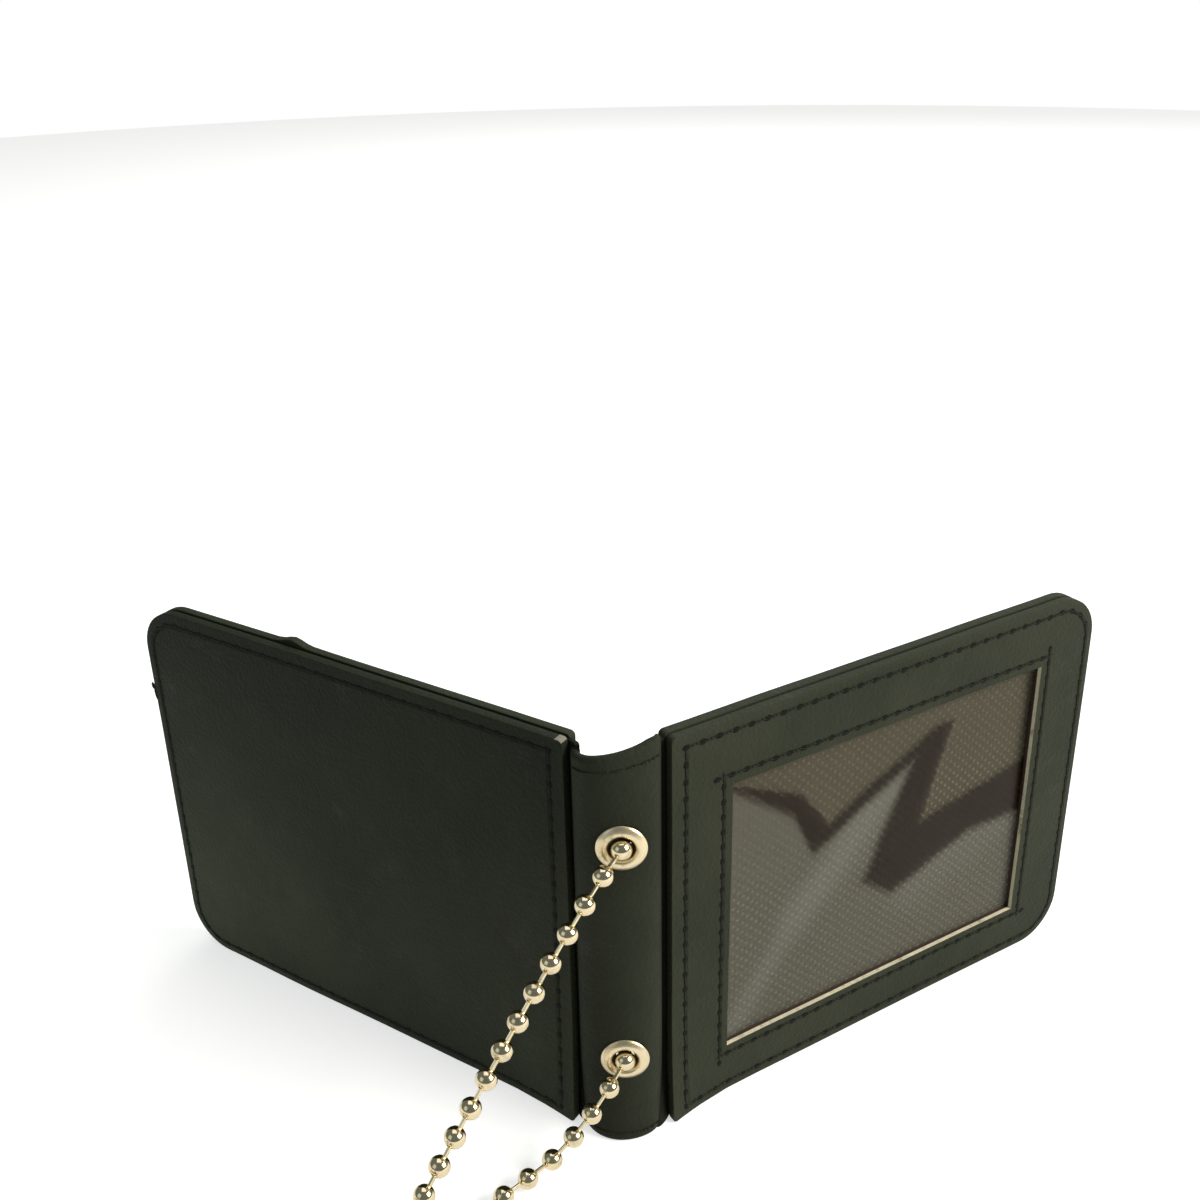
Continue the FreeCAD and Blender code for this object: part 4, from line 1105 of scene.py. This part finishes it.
class WALLET_OT_panels(bpy.types.Operator):
    """Builds the leather plates of both panels, with their hems and cut windows"""
    bl_idname = "wallet.panels"
    bl_label = "Panel leather"

    def execute(self, context):
        panel = context.scene.wallet_panel
        for name in SIDES:
            self.facing(name, panel)
            self.window_plate(name, panel)
            self.hem(name, panel)
        return {"FINISHED"}

    def blank(self, panel):
        """A flat plate cut into a grid, finer where the lower fold corner bends."""
        bm = panel_face(panel)
        grid_slices(bm, panel)
        slice_at(bm, 0, [panel.fold_gap + reach * MM for reach in (1.6, 3.2, 4.8)])
        slice_at(bm, 1, [reach * MM for reach in (2.0, 4.0, 9.0)])
        return bm

    def facing(self, name, panel):
        """The plain plate. The rear one's raw leather shows at its upper fold corner."""
        raw = 1.6 * MM
        bm = self.blank(panel)
        slice_at(bm, 1, [panel.height - raw])
        lift(bm, panel.facing_top)
        round_off(bm, rim_edges(bm), panel.edge_round, 4, "EDGES")
        for face in bm.faces if name == "rear" else ():
            spot = face.calc_center_median()
            on_top = spot.y > panel.height - 1.0 * MM and face.normal.y > 0.3
            if on_top and spot.x < panel.fold_gap + raw:
                face.material_index = 1
        set_in_panel(bm, name, panel)
        make_object(
            name + "_plain_plate", bm, [name + "_facing_grain", "raw_corner"],
            name + "_panel", (name + "_facing_leather", name + "_stiffener_board"))

    def window_plate(self, name, panel):
        """The plate with the window, whose cut edge is pale in its upper part and dark brown in its lower
        part.
        """
        window = WINDOWS[name]
        bm = self.blank(panel)
        slice_at(bm, 0, [(KNOT_REACH + step) * MM for step in (-4.5, -3.0, -1.5, 0, 1.5, 3.0, 4.5)])
        slice_at(bm, 0, window[:2])
        slice_at(bm, 1, window[2:])
        drop_faces(bm, lambda spot: on_window(spot, window, 0))
        lift(bm, panel.thickness - panel.frame_start)
        slice_at(bm, 2, [panel.board])
        round_off(bm, rim_edges(bm, window), panel.edge_round, 4, "EDGES")
        shift(bm, (0, 0, panel.frame_start))
        if name == "rear":
            self.thread_knot(bm, panel)
        for face in bm.faces:
            spot = face.calc_center_median()
            if on_window(spot, window) and abs(face.normal.z) < 0.3:
                face.material_index = 1 if spot.z > panel.frame_start + panel.board else 2
        set_in_panel(bm, name, panel)
        make_object(
            name + "_window_plate", bm, [name + "_frame_grain", "cut_leather", "cut_board"],
            name + "_panel", (name + "_frame_leather", name + "_frame_board"))

    def thread_knot(self, bm, panel):
        """Puckers the top edge where the thread's ends are tied off."""
        for vert in bm.verts:
            if vert.co.y > panel.height - 2.0 * MM:
                away = (vert.co.x / MM - KNOT_REACH) / KNOT_WIDTH
                vert.co.y += KNOT_HEIGHT * MM * math.exp(-away * away)

    def hem(self, name, panel):
        """The hem between the plates, which leaves the slot's mouth open at the top."""
        inset, sunk = 0.35 * MM, 0.05 * MM
        start, end = panel.fold_gap, panel.fold_gap + panel.width
        left, right, roof = start + panel.hem, end - panel.hem, panel.height - panel.free_corner
        bm = panel_face(panel)
        slice_at(bm, 0, (left, right))
        slice_at(bm, 1, (panel.hem, roof))
        drop_faces(bm, lambda spot: spot.y > roof)
        drop_faces(bm, lambda spot: left < spot.x < right and spot.y > panel.hem)
        for vert in bm.verts:
            vert.co.x = min(max(vert.co.x, start + inset), end - inset)
            vert.co.y = max(vert.co.y, inset)
        grid_slices(bm, panel)
        lift(bm, panel.frame_start - panel.facing_top + 2 * sunk)
        shift(bm, (0, 0, panel.facing_top - sunk))
        set_in_panel(bm, name, panel)
        make_object(name + "_pocket_hem", bm, ["spine_grain"], name + "_panel")


class WALLET_OT_windows(bpy.types.Operator):
    """Puts the clear film and the woven backing in both windows"""
    bl_idname = "wallet.windows"
    bl_label = "Windows"

    # waves of the film's slack to a metre
    waves = 30
    # piece, finish, slot and node; margins in mm past the window at its ends, bottom and top;
    # levels in mm over the plain face; slack in mm
    sheets = (
        ("_film", "_film", "clear_vinyl", "_window_vinyl", (4.0, 4.0, 4.0), (2.68, 2.88), 0.12),
        ("_backing_cloth", "_weave", "woven_backing", "_pocket_backing", (6.0, 4.0, 5.5), (1.9, 2.1), 0.0))

    def execute(self, context):
        panel = context.scene.wallet_panel
        for name, (low, high, bottom, top) in WINDOWS.items():
            for piece, finish, slot, node, (ends, below, above), (floor, roof), slack in self.sheets:
                bm = rectangle(
                    low - ends * MM, high + ends * MM, bottom - below * MM, top + above * MM, 36, 28)
                lift(bm, (roof - floor) * MM)
                shift(bm, (0, 0, floor * MM))
                for vert in bm.verts:
                    spot = Vector((vert.co.x * self.waves, vert.co.y * self.waves, 11 + SIDES[name]))
                    vert.co.z += noise.noise(spot) * slack * MM
                set_in_panel(bm, name, panel)
                make_object(name + piece, bm, [name + finish], name + "_panel", (name + node,))
        return {"FINISHED"}


# how far stitches stand off the leather, how thick the dark mark painted as a needle hole's shade is, and how
# far the window's rows run past its corners, in mm; the window's pitch as a share of the edge's; the tilt of
# a stitch
STITCH_LIFT, HOLE_DEPTH, ROW_PAST = 0.02, 0.16, 1.4
WINDOW_PITCH = 0.92
STITCH_TILT = math.radians(5.0)
# height in mm and turn of the loose stitch on the rear panel's free edge
LOOSE_HEIGHT, LOOSE_TURN = 66.0, math.radians(80)


class WALLET_OT_stitches(bpy.types.Operator):
    """Sews the stitch rows along the panels' edges and round the windows"""
    bl_idname = "wallet.stitches"
    bl_label = "Stitches"

    def execute(self, context):
        panel = context.scene.wallet_panel
        for name in SIDES:
            for face, level, out in (("plain", 0.0, -1), ("window", panel.thickness, 1)):
                bm = bmesh.new()
                rows = self.edge_rows(panel)
                if face == "window":
                    rows += self.window_rows(name, panel)
                if (name, face) == ("rear", "plain"):
                    rows.append((panel.fold_gap + panel.width, LOOSE_HEIGHT * MM, LOOSE_TURN))
                for index, (u, v, turn) in enumerate(rows):
                    self.stitch(bm, name, panel, u, v, turn, level + out * STITCH_LIFT * MM, index)
                move(bm, panel_matrix(name, panel))
                make_object(
                    name + "_" + face + "_stitches", bm, ["thread", "needle_hole"],
                    name + "_panel")
        return {"FINISHED"}

    def run(self, a, b, pitch):
        """Places and turns of the stitches of a straight row."""
        way = Vector(b) - Vector(a)
        count = max(round(way.length / pitch), 1)
        turn = math.atan2(way.y, way.x)
        return [(*(Vector(a) + way * ((i + 0.5) / count)), turn) for i in range(count)]

    def bend(self, centre, radius, start, end, pitch):
        """Places and turns of the stitches of a row round a corner."""
        count = max(round(radius * abs(end - start) / pitch), 1)
        turns = [start + (end - start) * (i + 0.5) / count for i in range(count)]
        return [
            (centre[0] + radius * math.cos(turn), centre[1] + radius * math.sin(turn), turn + math.pi / 2)
            for turn in turns]

    def edge_rows(self, panel):
        low, pitch = panel.stitch_side, panel.stitch_pitch
        radius = panel.free_corner - low
        left = panel.fold_gap + panel.stitch_fold
        right = panel.fold_gap + panel.width - low
        top = panel.height - panel.stitch_top
        quarter = math.pi / 2
        return (
            self.run((left, low), (right - radius, low), pitch)
            + self.bend((right - radius, low + radius), radius, -quarter, 0, pitch)
            + self.run((right, low + radius), (right, top - radius), pitch)
            + self.bend((right - radius, top - radius), radius, 0, quarter, pitch)
            + self.run((right - radius, top), (left, top), pitch)
            + self.run((left, top), (left, low), pitch))

    def window_rows(self, name, panel):
        """Four straight rows that run past each other at the corners."""
        low, high, bottom, top = WINDOWS[name]
        gap, pitch = panel.window_stitch, panel.stitch_pitch * WINDOW_PITCH
        past = gap + ROW_PAST * MM
        return (
            self.run((low - past, bottom - gap), (high + past, bottom - gap), pitch)
            + self.run((high + gap, bottom - past), (high + gap, top + past), pitch)
            + self.run((high + past, top + gap), (low - past, top + gap), pitch)
            + self.run((low - gap, top + past), (low - gap, bottom - past), pitch))

    def stitch(self, bm, name, panel, u, v, turn, level, index):
        """One stitch and a near-black mark of painted shade for the needle hole that it goes down."""
        tilt = STITCH_TILT * (1 if index % 2 else 0.6)
        size = panel.stitch_length * (1.0 + 0.06 * math.sin(index * 2.3))
        end = panel.stitch_pitch / 2
        thick, wide = panel.stitch_width, panel.hole_width
        hole_u, hole_v = u + math.cos(turn) * end, v + math.sin(turn) * end
        for x, y, sizes, finish in (
                (u, v, (size, thick, thick * 0.8), 0),
                (hole_u, hole_v, (wide * 1.4, wide, HOLE_DEPTH * MM), 1)):
            place = Matrix.Translation((x + lean(name, x, y), y, level + warp(name, x, y)))
            for vert in add_stitch(bm, place @ Matrix.Rotation(turn + tilt, 4, "Z"), sizes):
                for face in vert.link_faces:
                    face.material_index = finish


# the strip's foot in mm: how far up its flare reaches, how far it stands out all round, at its
# middle and at its right, and how much narrower each side is
FOOT_REACH, FOOT_OUT, FOOT_MIDDLE, FOOT_RIGHT, FOOT_NARROW = 20.0, 1.5, 0.9, 1.3, 0.9
# its head in mm: how far down its twist reaches, and its size in depth and in height
HEAD_REACH, HEAD_DEPTH, HEAD_HEIGHT = 27.0, 0.8, 1.2
# columns of the strip's meshes, and the radius in mm of the holes for the eyelets' barrels
STRIP_COLUMNS, BARREL = 48, 2.0
# the lining in mm: depth under the strip's face, thickness, and how much shorter each end is
LINING_DEPTH, LINING_SKIN, LINING_SHORT = 1.0, 0.6, 1.0
# the stitches of the strip's hems: in a row, and the size of one in mm
HEM_STITCHES, HEM_STITCH = 7, (2.6, 0.45, 0.45)
# a fold margin: where it starts on the strip as a share from the middle, then in mm its depth
# there, its lap on the panel, its thickness, and its push at the foot for a mm of corner pull
MARGIN_SHARE, MARGIN_DEPTH, MARGIN_LAP, MARGIN_SKIN, MARGIN_PUSH = 0.42, 0.9, 2.2, 0.8, 5.2


class WALLET_OT_spine(bpy.types.Operator):
    """Bends the spine strip with its turned hems, its lining and the fold margins"""
    bl_idname = "wallet.spine"
    bl_label = "Spine"

    def execute(self, context):
        panel, spine = context.scene.wallet_panel, context.scene.wallet_spine
        self.cover(spine)
        self.lining(spine)
        self.hem_stitches(spine)
        for name in SIDES:
            self.margin(name, panel, spine)
        return {"FINISHED"}

    def strip_point(self, spine, share, depth, z):
        """A point of the strip: share goes from its left end to its right one, and depth is
        measured inwards from the leather's face. The strip stands out at its foot, where it is a
        little narrower, and twists at its head."""
        turn = (2 * share - 1) * spine.wrap
        deep = spine.bow - spine.tuck
        foot, head = fade(z, FOOT_REACH), fade(spine.height - z, HEAD_REACH)
        wide = spine.half_width - (spine.groove if turn > 0 else 0.0) - foot * FOOT_NARROW * MM
        out = Vector((math.sin(turn) / wide, -math.cos(turn) / deep, 0)).normalized()
        spot = Vector((wide * math.sin(turn), FOLD_Y - spine.tuck - deep * math.cos(turn), z))
        flare = FOOT_OUT + FOOT_MIDDLE * math.cos(turn + 0.25) ** 2
        flare += FOOT_RIGHT * max(0.0, math.sin(turn)) ** 2
        spot.y -= foot * flare * MM
        spot.y += head * HEAD_DEPTH * MM * math.sin(2 * turn)
        spot.z += head * HEAD_HEIGHT * MM * math.sin(turn)
        return spot - out * depth

    def cover_rows(self):
        """The rows of the cover's sheet from the lower hem's edge to the upper one's."""
        return (
            [("hem_low", part) for part in (1.0, 0.75, 0.5, 0.3)]
            + [("turn_low", i / 8) for i in range(9)]
            + [("face", i / 30) for i in range(1, 30)]
            + [("turn_top", i / 8) for i in range(9)]
            + [("hem_top", part) for part in (0.2, 0.4, 0.6, 0.8, 0.93, 1.0)])

    def cover_place(self, spine, kind, part, share):
        """Depth under the strip's face and height of a place of the cover."""
        out, inside = 0.05 * MM, spine.thickness - spine.skin
        turn, middle = (inside - out) / 2, (inside + out) / 2
        swing = math.pi * part
        if kind == "face":
            return out, turn + (spine.height - 2 * turn) * part
        if kind == "turn_low":
            return middle + turn * math.cos(swing), turn - turn * math.sin(swing)
        if kind == "turn_top":
            return middle - turn * math.cos(swing), spine.height - turn + turn * math.sin(swing)
        if kind == "hem_low":
            wave = share * math.pi * 3.0
            scallop = 0.9 + 0.28 * abs(math.sin(wave))
            depth = inside + 0.25 * MM * part * abs(math.cos(wave))
            return depth, turn + (spine.bottom_hem * scallop - turn) * part
        ridge = 0.35 * MM * math.exp(-((share - 0.47) / 0.05) ** 2)
        droop = 0.5 * MM * part * math.sin(share * 9.0)
        return inside - ridge, spine.height - turn - (spine.top_hem - turn) * part - droop

    def cover(self, spine):
        """One sheet that runs up the outside and turns in over both ends."""
        rows = self.cover_rows()
        bm = bmesh.new()
        bmesh.ops.create_grid(bm, x_segments=STRIP_COLUMNS, y_segments=len(rows) - 1, size=0.5)
        for vert in bm.verts:
            share = vert.co.x + 0.5
            kind, part = rows[round((vert.co.y + 0.5) * (len(rows) - 1))]
            depth, z = self.cover_place(spine, kind, part, share)
            # thinner towards its hidden ends
            depth *= 1.0 - 0.9 * max(0.0, abs(2 * share - 1) - 0.55)
            spot = self.strip_point(spine, share, depth, z)
            ripple = Vector((share * 3.0, z * 15.0, 8.0))
            spot.y += noise.noise(ripple + Vector((0, 0, 9))) * 0.2 * MM * math.sin(math.pi * share)
            spot.z += noise.noise(ripple) * 0.25 * MM
            vert.co = spot
        self.open_holes(bm, spine)
        thicken(bm, spine.skin)
        make_object(
            "spine_strip", bm, ["spine_grain"], "spine", ("spine_cover",), sharp=60.0)

    def open_holes(self, bm, spine):
        """Takes out the small faces where the eyelets' barrels go through."""
        face_out(bm)
        for height in (spine.upper_eyelet, spine.lower_eyelet):
            drop_faces(
                bm, lambda spot: math.hypot(spot.x - spine.eyelet_side, spot.z - height) < BARREL * MM)

    def lining(self, spine):
        """A smooth sheet behind the strip, between its hems."""
        short = LINING_SHORT * MM
        bm = bmesh.new()
        bmesh.ops.create_grid(bm, x_segments=STRIP_COLUMNS, y_segments=40, size=0.5)
        for vert in bm.verts:
            share = vert.co.x + 0.5
            z = short + (vert.co.y + 0.5) * (spine.height - 2 * short)
            vert.co = self.strip_point(spine, share, LINING_DEPTH * MM, z)
            vert.co.y += noise.noise(Vector((share * 3.0, z * 30.0, 2.0))) * 0.2 * MM
        self.open_holes(bm, spine)
        thicken(bm, LINING_SKIN * MM)
        make_object(
            "spine_inner_lining", bm, ["spine_lining_gloss"], "spine", ("spine_lining",))

    def hem_stitches(self, spine):
        """A row of stitches across the strip at each end."""
        sizes = [size * MM for size in HEM_STITCH]
        bm = bmesh.new()
        for z in (spine.height - 3.0 * MM, 1.9 * MM):
            for i in range(HEM_STITCHES):
                share = 0.15 + 0.70 * (i + 0.5) / HEM_STITCHES
                a, b = (self.strip_point(spine, share + step, 0.0, z) for step in (-0.02, 0.02))
                place = (b - a).to_track_quat("X", "Z").to_matrix().to_4x4()
                place.translation = (a + b) / 2
                add_stitch(bm, place, sizes)
        make_object("spine_stitches", bm, ["thread"], "spine")

    def margin(self, name, panel, spine):
        """The leather that runs from the spine into a panel and bends at the fold line."""
        side = SIDES[name]
        axis = Vector((side * FOLD_X, FOLD_Y, 0))
        along = panel_along(name, panel)
        share = 0.5 + side * MARGIN_SHARE
        end = axis + along * (panel.fold_gap + MARGIN_LAP * MM)
        bm = bmesh.new()
        bmesh.ops.create_grid(bm, x_segments=12, y_segments=24, size=0.5)
        for vert in bm.verts:
            t = vert.co.x + 0.5
            z = 0.2 * MM + (vert.co.y + 0.5) * (spine.height - 0.6 * MM)
            start = self.strip_point(spine, share, MARGIN_DEPTH * MM, z)
            spot = start * (1 - t) ** 2 + axis * (2 * t * (1 - t)) + end * t ** 2
            spot.y -= fade(z, FOOT_REACH) * t * (1 - t) * abs(CORNER_PULL[name]) * MARGIN_PUSH * MM
            vert.co = (spot.x, spot.y, z)
        face_out(bm)
        thicken(bm, MARGIN_SKIN * MM)
        # painted shade: the margin is made of the darkened leather
        piece = make_object(name + "_fold_margin", bm, ["fold_grain"])
        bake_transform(piece)


# outlines of the turned metal pieces: radius and height in mm
EYELET = (
    (2.35, -2.3), (2.5, -2.4), (2.85, -2.42), (3.0, -2.25), (3.0, -1.9), (2.75, -1.8), (2.75, 0.0),
    (4.6, -0.05), (4.68, 0.1), (4.6, 0.28), (4.3, 0.5), (3.9, 0.76), (3.55, 0.9), (3.2, 0.92),
    (2.9, 0.84), (2.65, 0.62), (2.45, 0.3), (2.36, -0.1))
STUD = (
    (0, -0.05), (6.7, -0.05), (6.95, 0.1), (7.0, 0.35), (6.95, 0.62), (6.8, 0.85), (6.55, 0.97),
    (6.2, 1.0), (6.05, 0.94), (5.9, 0.92), (5.75, 0.98), (2.9, 1.0), (2.55, 1.08), (2.36, 1.3),
    (2.3, 1.6), (2.3, 2.6), (2.22, 2.85), (2.0, 3.02), (1.6, 3.1), (0, 3.1))
SOCKET_CASE = (
    (6.5, -0.05), (6.85, -0.05), (7.0, 0.15), (7.0, 2.55), (6.93, 2.85), (6.72, 3.08), (6.4, 3.2),
    (3.5, 3.2), (3.25, 3.12), (2.85, 2.75), (2.7, 2.6), (2.7, 2.3), (2.9, 2.3), (6.2, 2.4), (6.5, 2.2))
SOCKET_BASE = ((0, 0.02), (6.3, 0.02), (6.4, 0.2), (6.3, 0.5), (2.5, 0.5), (2.2, 0.58), (0, 0.62))


class WALLET_OT_eyelets(bpy.types.Operator):
    """Sets both eyelets in the spine"""
    bl_idname = "wallet.eyelets"
    bl_label = "Eyelets"

    def execute(self, context):
        spine = context.scene.wallet_spine
        outwards = Matrix.Rotation(math.pi / 2, 4, "X")
        for name, height in (("upper", spine.upper_eyelet), ("lower", spine.lower_eyelet)):
            bm = turned(EYELET, 48)
            move(bm, Matrix.Translation((spine.eyelet_side, FOLD_Y - spine.bow, height)) @ outwards)
            make_object(
                name + "_eyelet_ring", bm, ["eyelet_nickel"], "spine", (name + "_eyelet",))
        return {"FINISHED"}


class WALLET_OT_snap(bpy.types.Operator):
    """Fits the magnetic snap's stud and socket"""
    bl_idname = "wallet.snap"
    bl_label = "Magnetic snap"

    def execute(self, context):
        panel, metal = context.scene.wallet_panel, context.scene.wallet_metal
        u, v = metal.snap_reach, metal.snap_height
        over = Matrix.Rotation(math.pi, 4, "X")
        front = panel_matrix("front", panel) @ Matrix.Translation((u, v, warp("front", u, v))) @ over
        rear = panel_matrix("rear", panel) @ Matrix.Translation((u, v, panel.thickness + warp("rear", u, v)))
        for piece, profile, steps, place, body, node in (
                ("snap_stud_disc", STUD, 64, front, "front_panel", "snap_stud"),
                ("snap_socket_cap", SOCKET_CASE, 64, rear, "rear_panel", "snap_socket_case"),
                ("snap_socket_floor", SOCKET_BASE, 48, rear, "rear_panel", "snap_socket_base")):
            bm = turned(profile, steps)
            move(bm, place)
            make_object(piece, bm, ["snap_nickel"], body, (node,))
        return {"FINISHED"}


class WALLET_PT_pieces(bpy.types.Panel):
    """Lists the wallet's pieces"""
    bl_idname = "WALLET_PT_pieces"
    bl_label = "Badge Wallet"
    bl_space_type = "VIEW_3D"
    bl_region_type = "UI"
    bl_category = "Badge Wallet"

    def draw(self, context):
        for operator in OPERATORS:
            self.layout.operator(operator.bl_idname)
        for group in SETTINGS:
            settings = getattr(context.scene, group)
            for name in settings.__annotations__:
                self.layout.prop(settings, name)


OPERATORS = (
    WALLET_OT_finishes, WALLET_OT_stage, WALLET_OT_chain, WALLET_OT_inner_chain, WALLET_OT_panels,
    WALLET_OT_windows, WALLET_OT_stitches, WALLET_OT_spine, WALLET_OT_eyelets, WALLET_OT_snap)
SETTINGS = {
    "wallet_panel": WalletPanelSettings, "wallet_spine": WalletSpineSettings,
    "wallet_metal": WalletMetalSettings, "wallet_stage": WalletStageSettings}
CLASSES = (*SETTINGS.values(), *OPERATORS, WALLET_PT_pieces)


def register():
    for item in CLASSES:
        bpy.utils.register_class(item)
    for name, item in SETTINGS.items():
        setattr(bpy.types.Scene, name, bpy.props.PointerProperty(type=item))


def unregister():
    for name in SETTINGS:
        delattr(bpy.types.Scene, name)
    for item in reversed(CLASSES):
        bpy.utils.unregister_class(item)


def main():
    register()
    bpy.ops.wallet.finishes()
    bpy.ops.wallet.stage()
    bpy.ops.wallet.chain()
    bpy.ops.wallet.inner_chain()
    bpy.ops.wallet.panels()
    bpy.ops.wallet.windows()
    bpy.ops.wallet.stitches()
    bpy.ops.wallet.spine()
    bpy.ops.wallet.eyelets()
    bpy.ops.wallet.snap()


if __name__ == "__main__":
    main()
